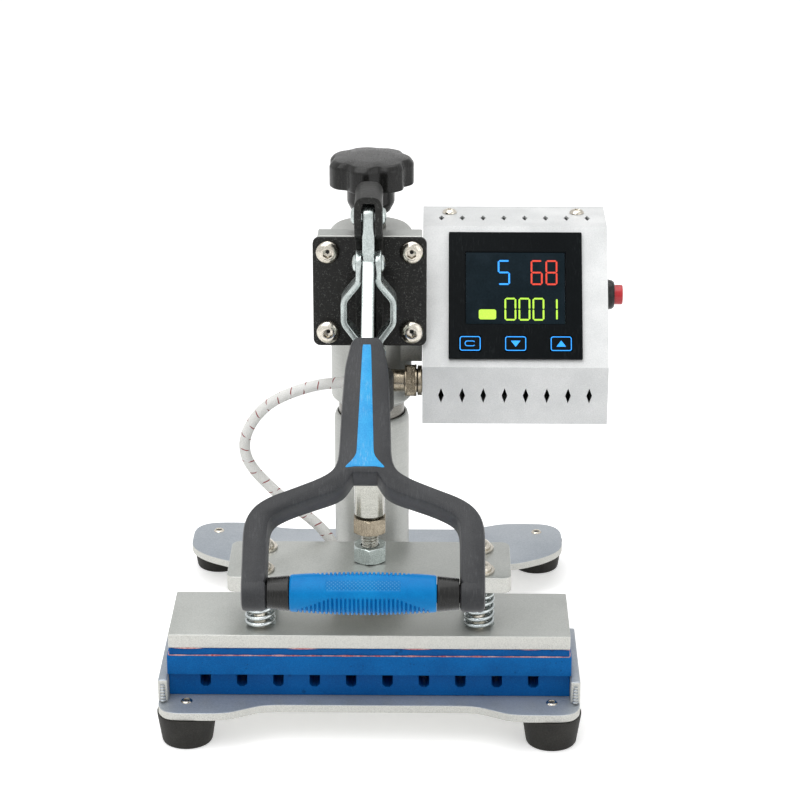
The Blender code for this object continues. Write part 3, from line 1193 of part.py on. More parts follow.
def build_links(shop, swing):
    """The pair of bowed links, hung on the handle's link pin."""
    link_axis = shop.empty("link_axis", swing, (0, 0, LINK_TOP_Z))
    span = LINK_TOP_Z - LINK_FOOT_Z
    bends = [LINK_TOP_Z - span * share for share in LINK_BEND_SHARES]
    top = LINK_TOP_Z + LINK_HALF_Y
    foot = LINK_FOOT_Z - LINK_HALF_Y
    bow_in = LINK_BOW - LINK_THICK
    lean = LINK_THICK * 0.35
    foot_out = LINK_FOOT_IN + LINK_THICK
    top_out = LINK_TOP_IN + LINK_THICK
    right = [
        (top_out, top), (top_out, bends[0] + lean / 2), (LINK_BOW, bends[1] + lean),
        (LINK_BOW, bends[2] - lean), (foot_out, bends[3] - lean / 2), (foot_out, foot),
        (LINK_FOOT_IN, foot), (LINK_FOOT_IN, bends[3] + lean / 2), (bow_in, bends[2] + lean),
        (bow_in, bends[1] - lean), (LINK_TOP_IN, bends[0] - lean / 2), (LINK_TOP_IN, top),
    ]
    side = round_end((0.0, LINK_TOP_Z), LINK_HALF_Y, 0, 180, 9)
    side += round_end((0.0, LINK_FOOT_Z), LINK_HALF_Y, 180, 180, 9)
    for name, sign in (("link_right", 1), ("link_left", -1)):
        points = [(sign * x, z) for x, z in right]
        link = shop.put(name, outline_mesh(name, points, LINK_HALF_Y * 2 + OVERRUN),
                        (0, 0, 0), link_axis, ZINC, FRONT)
        combine(link, shop.put("cut_" + name + "_ends", outline_mesh(
            "cut_" + name + "_ends", side, LINK_BOW * 4), (0, 0, 0), link_axis, turn=SIDE),
            "INTERSECT")
        combine(link, shop.put("cut_" + name + "_hole", rod_mesh(
            "cut_" + name + "_hole", PIN_R + GAP, LINK_BOW * 4, SMALL),
            (0, 0, LINK_TOP_Z), link_axis, turn=ALONG_X), "DIFFERENCE")
        head_x = sign * (foot_out + PIN_HEAD_HIGH / 2 - GAP)
        combine(link, shop.put("join_" + name + "_head", rod_mesh(
            "join_" + name + "_head", PIN_HEAD_R, PIN_HEAD_HIGH, SMALL),
            (head_x, 0, LINK_FOOT_Z), link_axis, turn=ALONG_X), "UNION")


def build_carriage(shop, head):
    """Plunger, stud, jam nuts and mount plate, with the sprung platen below."""
    slide = shop.empty("plunger_axis", head, (0, 0, PLUNGER_FOOT))
    plunger = shop.put("plunger", turned_mesh("plunger", [
        (0.0, PLUNGER_TOP), (PLUNGER_R - EDGE_BREAK, PLUNGER_TOP),
        (PLUNGER_R, PLUNGER_TOP - EDGE_BREAK), (PLUNGER_R, PLUNGER_FOOT + EDGE_BREAK * 2),
        (PLUNGER_R - EDGE_BREAK * 2, PLUNGER_FOOT), (STUD_R, PLUNGER_FOOT),
        (STUD_R, STUD_FOOT), (0.0, STUD_FOOT)]), (0, 0, 0), slide, STEEL)
    tongue = round_end((0.0, LINK_FOOT_Z), TONGUE_HALF_Y, 0, 180, 9)
    tongue += [(-TONGUE_HALF_Y, PLUNGER_TOP - OVERRUN), (TONGUE_HALF_Y, PLUNGER_TOP - OVERRUN)]
    combine(plunger, shop.put("join_tongue", outline_mesh(
        "join_tongue", tongue, TONGUE_HALF_X * 2), (0, 0, 0), slide, turn=SIDE), "UNION")
    smooth(plunger)
    for name, z in (("jam_nut_upper", NUT_UPPER_FOOT), ("jam_nut_lower", MOUNT_TOP + GAP)):
        spot = (0, 0, z + NUT_HIGH / 2)
        nut = shop.put(name, rod_mesh(name, NUT_CORNER_R, NUT_HIGH, 6), spot, slide, STEEL)
        break_edges(nut, EDGE_BREAK * 1.4, 1, math.radians(70.0))
        combine(nut, shop.put("cut_" + name, rod_mesh(
            "cut_" + name, STUD_R + GAP, NUT_HIGH * 2, MID), spot, slide), "DIFFERENCE")
    mount = shop.put("mount_plate", block_mesh("mount_plate", (
        MOUNT_HALF_X * 2, MOUNT_HALF_Y * 2, MOUNT_THICK)),
        (0, 0, MOUNT_TOP - MOUNT_THICK / 2), slide, ALLOY)
    mount_corners(mount)
    break_edges(mount, EDGE_BREAK)
    combine(mount, shop.put("cut_stud_hole", rod_mesh(
        "cut_stud_hole", STUD_R + GAP, MOUNT_THICK + OVERRUN, MID),
        (0, 0, MOUNT_TOP - MOUNT_THICK / 2), slide), "DIFFERENCE")
    spots = [(sx * SPRING_X, sy * SPRING_Y, 0.0) for sy in (-1, 1) for sx in (-1, 1)]
    combine(mount, shop.put("cut_shoulder_holes", rods_mesh(
        "cut_shoulder_holes", SHOULDER_R + GAP, MOUNT_THICK + OVERRUN, spots, steps=MID),
        (0, 0, MOUNT_TOP - MOUNT_THICK / 2), slide), "DIFFERENCE")
    build_platen(shop, slide, spots)


def mount_corners(mount):
    """Rounds the four upright corners of the mount plate."""
    shape = bmesh.new()
    shape.from_mesh(mount.data)
    upright = [edge for edge in shape.edges
               if abs(edge.verts[0].co.z - edge.verts[1].co.z) > MOUNT_THICK / 2]
    bmesh.ops.bevel(shape, geom=upright, offset=MOUNT_CORNER, segments=3, profile=0.5,
                    affect="EDGES")
    shape.to_mesh(mount.data)
    shape.free()


def build_platen(shop, slide, spots):
    """Cover, heater and pad, floating on four springs below the mount plate."""
    float_axis = shop.empty("float_axis", slide, (0, 0, COVER_TOP))
    cover = shop.put("heater_cover", block_mesh("heater_cover", (
        COVER_HALF_X * 2, COVER_HALF_Y * 2, COVER_THICK)),
        (0, 0, COVER_TOP - COVER_THICK / 2), float_axis, ALLOY)
    break_edges(cover, EDGE_BREAK)
    combine(cover, shop.put("cut_cover_taps", rods_mesh(
        "cut_cover_taps", SHOULDER_R + GAP, (SHOULDER_BITE + GAP) * 2, spots, steps=MID),
        (0, 0, COVER_TOP), float_axis), "DIFFERENCE")
    heater = shop.put("heater_block", block_mesh("heater_block", (
        (COVER_HALF_X - HEATER_INSET) * 2, (COVER_HALF_Y - HEATER_INSET) * 2, HEATER_THICK)),
        (0, 0, HEATER_TOP - HEATER_THICK / 2), float_axis, BLUE)
    break_edges(heater, EDGE_BREAK / 2)
    pad = shop.put("silicone_pad", block_mesh("silicone_pad", (
        (COVER_HALF_X + PAD_PROUD) * 2, (COVER_HALF_Y + PAD_PROUD) * 2, PAD_THICK)),
        (0, 0, PAD_FOOT + PAD_THICK / 2), float_axis, BLUE)
    break_edges(pad, EDGE_BREAK)
    shank = MOUNT_TOP - COVER_TOP + SHOULDER_BITE + GAP
    places = ("front_left", "front_right", "rear_left", "rear_right")
    head_top = MOUNT_TOP + GAP + SHOULDER_HEAD_HIGH
    for place, (x, y, _) in zip(places, spots):
        name = "spring_bolt_" + place
        bolt = shop.put(name, turned_mesh(name, dome_outline(
            SHOULDER_HEAD_R, SHOULDER_HEAD_HIGH, SHOULDER_R, shank, SHOULDER_FLANGE_R,
            SHOULDER_FLANGE_HIGH), MID), (x, y, MOUNT_TOP + GAP), float_axis, STEEL)
        combine(bolt, shop.put("cut_" + name, rod_mesh(
            "cut_" + name, SOCKET_ACROSS / 2 / math.cos(math.pi / 6), SOCKET_DEEP * 2, 6),
            (x, y, head_top), float_axis), "DIFFERENCE")
        smooth(bolt)
        build_spring(shop, float_axis, "spring_" + place, x, y)
    gland = shop.put("cable_gland", turned_mesh("cable_gland", [
        (0.0, GLAND_BORE_FOOT), (CABLE_R + GAP, GLAND_BORE_FOOT), (CABLE_R + GAP, GLAND_TOP),
        (GLAND_R - EDGE_BREAK, GLAND_TOP), (GLAND_R, GLAND_TOP - EDGE_BREAK),
        (GLAND_R, GLAND_FOOT), (0.0, GLAND_FOOT)], MID), (GLAND_X, GLAND_Y, 0), float_axis, STEEL)
    lug_front = COVER_HALF_Y + GAP
    lug_deep = GLAND_Y - CABLE_R - GAP * 3 - lug_front
    combine(gland, shop.put("join_gland_lug", block_mesh("join_gland_lug", (
        GLAND_R * 2, lug_deep, GLAND_LUG_HIGH)), (
        GLAND_X, lug_front + lug_deep / 2, GLAND_FOOT + GLAND_LUG_HIGH / 2), float_axis), "UNION")
    smooth(gland)


def spring_height(turns, foot, low_pitch, live_pitch):
    """Height of the wire's middle after a number of turns: closed ends, open middle."""
    first = min(turns, SPRING_END_TURNS)
    live = min(max(turns - SPRING_END_TURNS, 0.0), SPRING_LIVE_TURNS)
    last = max(turns - SPRING_END_TURNS - SPRING_LIVE_TURNS, 0.0)
    return foot + (first + last) * low_pitch + live * live_pitch


def build_spring(shop, float_axis, name, x, y):
    """One coil spring between cover and mount plate."""
    foot = COVER_TOP + GAP + SPRING_WIRE_R
    top = MOUNT_TOP - MOUNT_THICK - GAP - SPRING_WIRE_R
    low_pitch = SPRING_WIRE_R * 2 + SPRING_END_GAP
    live_pitch = (top - foot - low_pitch * SPRING_END_TURNS * 2) / SPRING_LIVE_TURNS
    total = SPRING_END_TURNS * 2 + SPRING_LIVE_TURNS
    count = round(total * SPRING_POINTS)
    path = []
    for i in range(count + 1):
        turns = total * i / count
        angle = 2 * math.pi * turns
        path.append((SPRING_MID_R * math.cos(angle), SPRING_MID_R * math.sin(angle),
                     spring_height(turns, foot, low_pitch, live_pitch)))
    spring = shop.put(name, tube_mesh(name, path, SPRING_WIRE_R, 1), (x, y, 0), float_axis, STEEL)
    smooth(spring, math.radians(60.0))
    print(name, "least gap between curls (mm):", round((low_pitch - SPRING_WIRE_R * 2) * 1000, 3))


def centre_on_floor(shop):
    """Moves the machine so that its box, the cable left out, stands centred on the origin."""
    bpy.context.view_layer.update()
    graph = bpy.context.evaluated_depsgraph_get()
    low = Vector((math.inf, math.inf, math.inf))
    high = -low
    for piece in shop.pieces.objects:
        if piece.type != "MESH" or piece.name in CORD_NAMES:
            continue
        seen = piece.evaluated_get(graph)
        for vertex in seen.data.vertices:
            spot = piece.matrix_world @ vertex.co
            low = Vector(map(min, low, spot))
            high = Vector(map(max, high, spot))
    middle = (low + high) / 2
    shop.root.location = Vector((-middle.x, -middle.y, -low.z))
    print("moved by", [round(v, 6) for v in shop.root.location],
          "size", [round(v, 6) for v in high - low])


def main():
    clear_scene()
    shop = Shop()
    build_base(shop)
    swing = build_post(shop)
    head = build_head(shop, swing)
    build_handle(shop, head)
    build_carriage(shop, head)
    centre_on_floor(shop)


main()
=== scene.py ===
"""Looks of the pen heat press: finer pieces round the packed frame, their finishes and the studio.

Lengths are in metres. Drawings use the machine frame of the part's source, whose origin lies
under the middle of the platen, and Workshop.add carries them into the packed frame.
"""
import sys

import logging
import math
from dataclasses import dataclass, field, replace
from enum import Enum
from typing import Callable

import bmesh
import bpy
import numpy as np
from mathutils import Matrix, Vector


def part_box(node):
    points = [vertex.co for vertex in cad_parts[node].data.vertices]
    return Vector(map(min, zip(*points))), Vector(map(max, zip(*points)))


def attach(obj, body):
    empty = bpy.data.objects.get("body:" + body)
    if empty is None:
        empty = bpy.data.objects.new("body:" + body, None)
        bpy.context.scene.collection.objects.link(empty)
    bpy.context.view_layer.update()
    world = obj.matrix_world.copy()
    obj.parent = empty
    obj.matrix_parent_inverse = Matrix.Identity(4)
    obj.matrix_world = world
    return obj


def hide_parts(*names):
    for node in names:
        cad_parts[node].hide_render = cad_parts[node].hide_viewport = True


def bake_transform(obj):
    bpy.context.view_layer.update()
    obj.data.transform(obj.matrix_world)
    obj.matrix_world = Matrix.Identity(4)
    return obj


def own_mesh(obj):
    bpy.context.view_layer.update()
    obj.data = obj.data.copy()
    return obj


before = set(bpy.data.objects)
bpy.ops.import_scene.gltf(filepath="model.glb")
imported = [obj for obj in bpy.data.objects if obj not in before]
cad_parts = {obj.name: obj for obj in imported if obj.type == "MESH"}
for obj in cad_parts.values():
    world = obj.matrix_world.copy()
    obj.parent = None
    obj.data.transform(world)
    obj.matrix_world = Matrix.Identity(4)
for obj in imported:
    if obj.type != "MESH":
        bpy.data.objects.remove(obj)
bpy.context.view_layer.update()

Array = np.ndarray
Mesh = bpy.types.Mesh
Triple = tuple[float, float, float]
log = logging.getLogger("pen_press")

MM = 0.001
FINE = 96
MIDDLE = 48
COAT_ROUGHNESS = 0.08
MERGE = 1e-7


class Axis(Enum):
    """Ways to stand a turned piece: the direction of its own axis."""

    UP = ((1.0, 0.0, 0.0), (0.0, 1.0, 0.0), (0.0, 0.0, 1.0))
    ACROSS = ((0.0, 1.0, 0.0), (0.0, 0.0, 1.0), (1.0, 0.0, 0.0))
    AGAINST = ((0.0, -1.0, 0.0), (0.0, 0.0, -1.0), (-1.0, 0.0, 0.0))
    FORWARD = ((1.0, 0.0, 0.0), (0.0, 0.0, 1.0), (0.0, -1.0, 0.0))


@dataclass(frozen=True)
class Place:
    """An origin with three axes, which carries a drawing into the machine.

    Args:
        origin: where the drawing's zero lies.
        axes: the drawing's x, y and z as directions in the machine.
    """

    origin: Triple = (0.0, 0.0, 0.0)
    axes: tuple[Triple, Triple, Triple] = Axis.UP.value

    def put(self, points: Array) -> Array:
        """Each point as origin plus its coordinates times the three axes."""
        return np.asarray(points, float) @ np.array(self.axes) + np.array(self.origin)


def tone(red: float, green: float, blue: float) -> tuple[float, float, float, float]:
    """A colour written as 8-bit display numbers, given back as linear light.

    Returns:
        ((c + 0.055) / 1.055) to the power 2.4 for each channel above the toe, and 1 for alpha.
    """
    shares = np.array([red, green, blue]) / 255.0
    linear = np.where(shares <= 0.04045, shares / 12.92, ((shares + 0.055) / 1.055) ** 2.4)
    return (*linear.tolist(), 1.0)


def operation(kind: str, note: str, swapped: bool = False) -> Callable[..., "Sock"]:
    """Makes a socket's method that adds one Math node.

    Args:
        kind: the node's operation.
        note: what the method gives.
        swapped: whether the socket itself comes last.

    Returns:
        The method.
    """
    def method(self: "Sock", *others: "Sock | float") -> "Sock":
        values = (*others, self) if swapped else (self, *others)
        return self.graph.add("ShaderNodeMath", {"operation": kind}, dict(enumerate(values)))

    method.__doc__ = note
    return method


class Sock:
    """A shader socket that takes part in sums, products and comparisons."""

    def __init__(self, graph: "Graph", socket: bpy.types.NodeSocket) -> None:
        """Keeps the graph, which adds the nodes, with the socket."""
        self.graph = graph
        self.socket = socket

    __add__ = __radd__ = operation("ADD", "This plus other.")
    __sub__ = operation("SUBTRACT", "This minus other.")
    __rsub__ = operation("SUBTRACT", "Other minus this.", swapped=True)
    __mul__ = __rmul__ = operation("MULTIPLY", "This times other.")
    sine = operation("SINE", "The sine of this, in radians.")
    most = operation("MAXIMUM", "The larger of this and other.")
    size = operation("ABSOLUTE", "This without its sign.")
    fraction = operation("FRACT", "What this has past its whole number.")

    def step(self, low: float, high: float) -> "Sock":
        """A smooth step from 0 at low to 1 at high, or down if low is above high.

        Args:
            low: where the step starts.
            high: where it is complete.
        """
        return self.graph.add("ShaderNodeMapRange", {"interpolation_type": "SMOOTHSTEP"}, {
            "Value": self, "From Min": low, "From Max": high})


class Graph:
    """The node tree of one material."""

    def __init__(self, name: str) -> None:
        """Starts an empty node tree.

        Args:
            name: the material's name.
        """
        self.material = bpy.data.materials.new(name)
        self.material.use_nodes = True
        self.tree = self.material.node_tree
        self.tree.nodes.clear()

    def add(self, kind: str, settings: dict | None = None, values: dict | None = None,
            out: int | str = 0) -> Sock:
        """Adds any node: its settings first, then the values or links of its sockets.

        Args:
            kind: the node's type.
            settings: attributes by name.
            values: numbers, colours or sockets by input name or index.
            out: the output wanted.

        Returns:
            That output.
        """
        node = self.tree.nodes.new(kind)
        for key, value in (settings or {}).items():
            setattr(node, key, value)
        for key, value in (values or {}).items():
            if isinstance(value, Sock):
                self.tree.links.new(value.socket, node.inputs[key])
            else:
                node.inputs[key].default_value = value
        return Sock(self, node.outputs[out])

    def close(self, shader: Sock) -> None:
        """Links a shader to the material's output.

        Args:
            shader: the surface shader.
        """
        output = self.tree.nodes.new("ShaderNodeOutputMaterial")
        self.tree.links.new(shader.socket, output.inputs["Surface"])

    def coordinates(self, stretch: Triple = (1.0, 1.0, 1.0)) -> Sock:
        """Object coordinates, scaled along each axis.

        Args:
            stretch: the scale along each axis.
        """
        spot = self.add("ShaderNodeTexCoord", out="Object")
        if stretch == (1.0, 1.0, 1.0):
            return spot
        return self.add("ShaderNodeMapping", values={"Vector": spot, "Scale": stretch})

    def noise(self, spot: Sock, scale: float, detail: float = 2.0, rough: float = 0.55) -> Sock:
        """Soft noise about one half.

        Args:
            spot: where it is read.
            scale: its lumps per metre.
            detail: its octaves.
            rough: how strong the fine octaves are.
        """
        return self.add("ShaderNodeTexNoise", values={
            "Vector": spot, "Scale": scale, "Detail": detail, "Roughness": rough})

    def cells(self, spot: Sock, scale: float, feature: str = "F1") -> Sock:
        """The distance field of scattered cells.

        Args:
            spot: where it is read.
            scale: cells per metre.
            feature: which distance.
        """
        return self.add("ShaderNodeTexVoronoi", {"feature": feature},
                        {"Vector": spot, "Scale": scale})

    def blend(self, share: Sock, first: "Sock | tuple", second: "Sock | tuple") -> Sock:
        """A colour between first and second.

        Args:
            share: 0 for the first, 1 for the second.
            first: a colour or a colour socket.
            second: a colour or a colour socket.
        """
        return self.add("ShaderNodeMix", {"data_type": "RGBA"}, {0: share, 6: first, 7: second},
                        out=2)

    def part(self, vector: Sock, which: str) -> Sock:
        """One coordinate of a vector.

        Args:
            vector: the vector.
            which: X, Y or Z.
        """
        return self.add("ShaderNodeSeparateXYZ", values={"Vector": vector}, out=which)

    def facing_up(self) -> Sock:
        """1 on faces that look up, 0 on upright ones."""
        normal = self.add("ShaderNodeNewGeometry", out="Normal")
        return self.part(normal, "Z").step(0.35, 0.8)


@dataclass
class Coat:
    """What varies over a surface while a finish is being worked out."""

    colour: Sock
    roughness: Sock
    height: Sock


@dataclass(frozen=True)
class Finish:
    """A surface whose colour clouds and fine grain lie between a light and a dark tone.

    Args:
        name: the material's name.
        slot: the record's slot that it fills.
        light: 8-bit tone of its light spots.
        dark: 8-bit tone of its dark spots.
        roughness: mean roughness.
        spread: how far the roughness strays.
        metallic: share of metal.
        grain: grains per metre.
        cloud: clouds per metre.
        grain_share: share of the grain in the colour.
        relief: depth of the grain.
        coat: weight of a clear coat.
        stretch: scale of the pattern along each axis.
        sheen: specular level of a plastic or paint.
    """

    name: str
    slot: str
    light: Triple
    dark: Triple
    roughness: float = 0.5
    spread: float = 0.1
    metallic: float = 0.0
    grain: float = 1600.0
    cloud: float = 24.0
    grain_share: float = 0.5
    relief: float = 0.00005
    coat: float = 0.0
    stretch: Triple = (1.0, 1.0, 1.0)
    sheen: float = 0.5

    def material(self) -> bpy.types.Material:
        """The material, made once and then shared.

        Returns:
            The material of this name.
        """
        made = bpy.data.materials.get(f"look_{self.name}")
        if made is not None:
            return made
        graph = Graph(f"look_{self.name}")
        coat = self.accents(graph, self.ground(graph))
        bump = graph.add("ShaderNodeBump", values={
            "Strength": 1.0, "Distance": self.relief, "Height": coat.height})
        shader = graph.add("ShaderNodeBsdfPrincipled", values={
            "Base Color": coat.colour, "Roughness": coat.roughness, "Normal": bump,
            "Metallic": self.metallic, "Coat Weight": self.coat, "Coat Roughness": COAT_ROUGHNESS,
            "Specular IOR Level": self.sheen})
        graph.close(shader)
        return graph.material

    def ground(self, graph: Graph) -> Coat:
        """Clouds and grain: share = cloud times (1 - grain share) + grain times grain share.

        Args:
            graph: the tree to build in.

        Returns:
            The plain coat.
        """
        spot = graph.coordinates(self.stretch)
        cloud = graph.noise(spot, self.cloud, 4.0)
        grain = graph.noise(spot, self.grain, 2.0, 0.6)
        share = cloud * (1.0 - self.grain_share) + grain * self.grain_share
        colour = graph.blend(share.step(0.32, 0.68), tone(*self.dark), tone(*self.light))
        roughness = self.roughness + (cloud - 0.5) * (2.0 * self.spread)
        return Coat(colour, roughness, grain)

    def accents(self, graph: Graph, coat: Coat) -> Coat:
        """What this finish adds to clouds and grain: nothing here."""
        return coat


@dataclass(frozen=True)
class FlakePaint(Finish):
    """Silver paint with flakes that catch the light, paler on faces that look up."""

    flakes: float = 1500.0
    # Tone of the flakes' painted glints.
    flake_glint_tone: Triple = (236, 238, 236)

    def accents(self, graph: Graph, coat: Coat) -> Coat:
        """Bright flakes where a scattered cell lies near, as a smooth step on its distance."""
        flake = graph.cells(graph.coordinates(), self.flakes).step(0.30, 0.05)
        glint = graph.noise(graph.coordinates(), self.flakes * 0.37).step(0.45, 0.62)
        # Painted glints: the flakes' sparkle painted into the colour.
        flake_glint = flake * glint * 0.55
        coat.colour = graph.blend(flake_glint, coat.colour, tone(*self.flake_glint_tone))
        coat.height = coat.height + flake * 0.4
        return coat


@dataclass(frozen=True)
class SheetMetal(Finish):
    """Cut sheet: a fine rolled top and sandy, paler cut edges."""

    # Tone of the upright faces, painted paler than the top as painted light.
    edge: Triple = (214, 214, 208)
    edge_grain: float = 1900.0

    def accents(self, graph: Graph, coat: Coat) -> Coat:
        """Mixes the top and the sandy edge by the way the face looks."""
        up = graph.facing_up()
        sand = graph.noise(graph.coordinates(), self.edge_grain, 3.0, 0.7)
        pale = graph.blend(sand.step(0.30, 0.62), tone(*(c * 0.86 for c in self.edge)),
                           tone(*self.edge))
        # Painted light: upright faces take the paler tone, faces that look up the top's.
        coat.colour = graph.blend(up, pale, coat.colour)
        coat.roughness = coat.roughness + (1.0 - up) * 0.16
        coat.height = coat.height + (1.0 - up) * sand * 1.5
        return coat


@dataclass(frozen=True)
class CrinkleCoat(Finish):
    """Black powder coat, cured into wrinkles whose crests are worn grey."""

    wrinkle: float = 520.0

    def accents(self, graph: Graph, coat: Coat) -> Coat:
        """Wrinkles: the cell distance bent by noise, with specks of light on the crests."""
        spot = graph.coordinates()
        bend = graph.noise(spot, self.wrinkle * 0.6, 3.0)
        ridge = graph.cells(spot, self.wrinkle, "SMOOTH_F1") + bend * 0.9
        crest = ridge.step(0.62, 1.02)
        crest_glint = graph.noise(spot, self.wrinkle * 3.1, 1.0).step(0.58, 0.70)
        # Painted highlights: grey specks where wrinkle crests meet strong noise.
        coat.colour = graph.blend(crest * crest_glint * 0.5, coat.colour, tone(120, 122, 118))
        coat.height = ridge
        return coat


@dataclass(frozen=True)
class TurnedMetal(Finish):
    """Metal off the lathe, with fine rings round its axis and handling marks."""

    rings: float = 2600.0
    axis: str = "Z"
    grease: tuple[float, float] | None = None

    def accents(self, graph: Graph, coat: Coat) -> Coat:
        """Rings: noise read only along the axis; grease: a yellow band between two heights."""
        stretch = tuple(1.0 if letter == self.axis else 0.02 for letter in "XYZ")
        ring = graph.noise(graph.coordinates(stretch), self.rings, 1.0)
        coat.colour = graph.blend(ring.step(0.35, 0.75) * 0.35, coat.colour, tone(*self.dark))
        coat.height = coat.height * 0.4 + ring
        if self.grease:
            low, high = self.grease
            height = graph.part(graph.coordinates(), "Z")
            band = height.step(low, low + 1.5 * MM) * height.step(high, high - 1.5 * MM)
            smear = graph.noise(graph.coordinates((1.0, 1.0, 3.0)), 190.0, 4.0).step(0.46, 0.60)
            coat.colour = graph.blend(band * smear * 0.75, coat.colour, tone(120, 112, 74))
            coat.roughness = coat.roughness - band * smear * 0.15
        return coat


@dataclass(frozen=True)
class PlatedMetal(Finish):
    """Zinc or nickel plate: cool patches and fine scratches along the piece."""

    scratch: Triple = (1.0, 1.0, 0.06)

    def accents(self, graph: Graph, coat: Coat) -> Coat:
        """Scratches: noise stretched along one axis, kept where it is strong."""
        line = graph.noise(graph.coordinates(self.scratch), 1900.0, 2.0).step(0.56, 0.70)
        patch = graph.noise(graph.coordinates(), 130.0, 4.0, 0.65).step(0.40, 0.66)
        coat.colour = graph.blend(line * 0.35, coat.colour, tone(*self.dark))
        coat.colour = graph.blend(patch * 0.3, coat.colour, tone(*(c * 0.72 for c in self.light)))
        coat.roughness = coat.roughness + line * 0.12 + patch * 0.08
        coat.height = coat.height * 0.5 + line
        return coat


@dataclass(frozen=True)
class Silicone(Finish):
    """Blue silicone: an orange-peel skin with a few pits and pale dust."""

    peel: float = 650.0
    dust: Triple = (70, 150, 205)

    def accents(self, graph: Graph, coat: Coat) -> Coat:
        """Peel: rounded lumps; pits: near cells; dust: strong spots of fine noise."""
        spot = graph.coordinates()
        lumps = graph.noise(spot, self.peel, 3.0, 0.6)
        pits = graph.cells(spot, self.peel * 0.35).step(0.16, 0.06)
        dust = graph.noise(spot, 2100.0, 2.0, 0.7).step(0.60, 0.74)
        coat.colour = graph.blend(dust * 0.4, coat.colour, tone(*self.dust))
        # Painted shade: the pits are painted darker.
        coat.colour = graph.blend(pits * 0.4, coat.colour, tone(*(c * 0.4 for c in self.dark)))
        coat.height = coat.height * 0.3 + lumps * 1.6 - pits
        return coat


@dataclass(frozen=True)
class ScuffedPlastic(Finish):
    """Moulded plastic with pale scuffs along its length."""

    scuff: Triple = (150, 205, 236)
    scuff_share: float = 0.5
    scuff_run: Triple = (1.0, 0.16, 0.16)

    def accents(self, graph: Graph, coat: Coat) -> Coat:
        """Scuffs: stretched noise times broad patches, kept where it is strong."""
        streak = graph.noise(graph.coordinates(self.scuff_run), 1100.0, 3.0, 0.65)
        patch = graph.noise(graph.coordinates(), 60.0, 3.0).step(0.38, 0.66)
        mark = streak.step(0.50, 0.66) * patch
        coat.colour = graph.blend(mark * self.scuff_share, coat.colour, tone(*self.scuff))
        coat.roughness = coat.roughness + mark * 0.15
        coat.height = coat.height + mark * 0.5
        return coat


@dataclass(frozen=True)
class GripRubber(Finish):
    """Grip rubber: a matt skin, and rows of small dimples inside its front panel."""

    length: float = 0.080
    girth: float = 0.0742
    half: tuple[float, float] = (0.0205, 0.0032)
    pitch: float = 0.0011
    border: float = 0.6 * MM

    def accents(self, graph: Graph, coat: Coat) -> Coat:
        """Dimples: the product of two sines on the surface's own map, inside the panel."""
        spot = graph.add("ShaderNodeUVMap", {"uv_map": "run"})
        along = (graph.part(spot, "X") - 0.5) * self.length
        around = (graph.part(spot, "Y") - 0.5) * self.girth
        inside = along.size().step(self.half[0], self.half[0] - self.border)
        inside = inside * around.size().step(self.half[1], self.half[1] - self.border)
        wave = (along * (math.pi / self.pitch)).sine() * (around * (math.pi / self.pitch)).sine()
        dimple = wave.step(0.05, 0.75) * inside
        # Painted highlights: the raised dimples are painted paler.
        coat.colour = graph.blend(dimple * 0.35, coat.colour, tone(120, 195, 235))
        coat.colour = graph.blend(inside * 0.25, coat.colour, tone(0, 96, 160))
        coat.height = coat.height * 0.5 + dimple * 2.0 - inside * 1.2
        return coat


@dataclass(frozen=True)
class BraidedSleeve(Finish):
    """White glass-fibre sleeve: a fine braid with a dark red tracer thread."""

    length: float = 0.30
    turns: float = 26.0
    strands: float = 12.0
    stitches: float = 900.0

    def accents(self, graph: Graph, coat: Coat) -> Coat:
        """Braid: two crossed sine waves on the map; tracer: a narrow helix in short dashes."""
        spot = graph.add("ShaderNodeUVMap", {"uv_map": "run"})
        along = graph.part(spot, "X")
        around = graph.part(spot, "Y")
        rise = along * (self.length * self.stitches * math.pi)
        turn = around * (self.strands * 2.0 * math.pi)
        weave = (rise + turn).sine().most((rise - turn).sine())
        helix = (along * self.turns + around).fraction()
        dash = (along * (self.turns * 2.6)).fraction().step(0.62, 0.56)
        tracer = (helix - 0.5).size().step(0.055, 0.030) * dash
        coat.colour = graph.blend(weave.step(-0.4, 0.9) * 0.3, coat.colour, tone(252, 252, 250))
        coat.colour = graph.blend(tracer, coat.colour, tone(140, 32, 38))
        coat.height = coat.height * 0.3 + weave
        return coat


@dataclass(frozen=True)
class CircuitBoard(Finish):
    """Green board with straight copper tracks under the lacquer."""

    def accents(self, graph: Graph, coat: Coat) -> Coat:
        """Tracks: thin lines at an even pitch along X and Z, broken up by patches."""
        spot = graph.coordinates()
        lines = ((graph.part(spot, "X") * 1900.0).sine()).step(0.75, 0.95)
        rungs = ((graph.part(spot, "Z") * 1500.0).sine()).step(0.80, 0.95)
        patch = graph.noise(spot, 70.0).step(0.45, 0.55)
        track = lines * patch + rungs * (1.0 - patch)
        coat.colour = graph.blend(track * 0.6, coat.colour, tone(92, 152, 84))
        coat.height = coat.height * 0.3 + track
        return coat


@dataclass(frozen=True)
class SmokedGlass(Finish):
    """Dark display window with wiped smears."""

    def accents(self, graph: Graph, coat: Coat) -> Coat:
        """Smears: noise stretched along Y, kept where it is strong."""
        spot = graph.coordinates((1.0, 0.4, 1.0))
        smear = graph.noise(spot, 85.0, 4.0, 0.7).step(0.45, 0.75)
        coat.colour = graph.blend(smear * 0.4, coat.colour, tone(34, 47, 56))
        coat.roughness = coat.roughness + smear * 0.10
        return coat


@dataclass(frozen=True)
class Lit(Finish):
    """A lit mark on the display, a little uneven as its lamp behind it is."""

    glow: float = 0.7

    def material(self) -> bpy.types.Material:
        """The material, made once: the tone as base colour and as light of its own.

        Returns:
            The material of this name.
        """
        made = bpy.data.materials.get(f"look_{self.name}")
        if made is not None:
            return made
        graph = Graph(f"look_{self.name}")
        coat = self.ground(graph)
        shader = graph.add("ShaderNodeBsdfPrincipled", values={
            "Base Color": coat.colour, "Roughness": coat.roughness,
            "Emission Color": coat.colour, "Emission Strength": self.glow})
        graph.close(shader)
        return graph.material


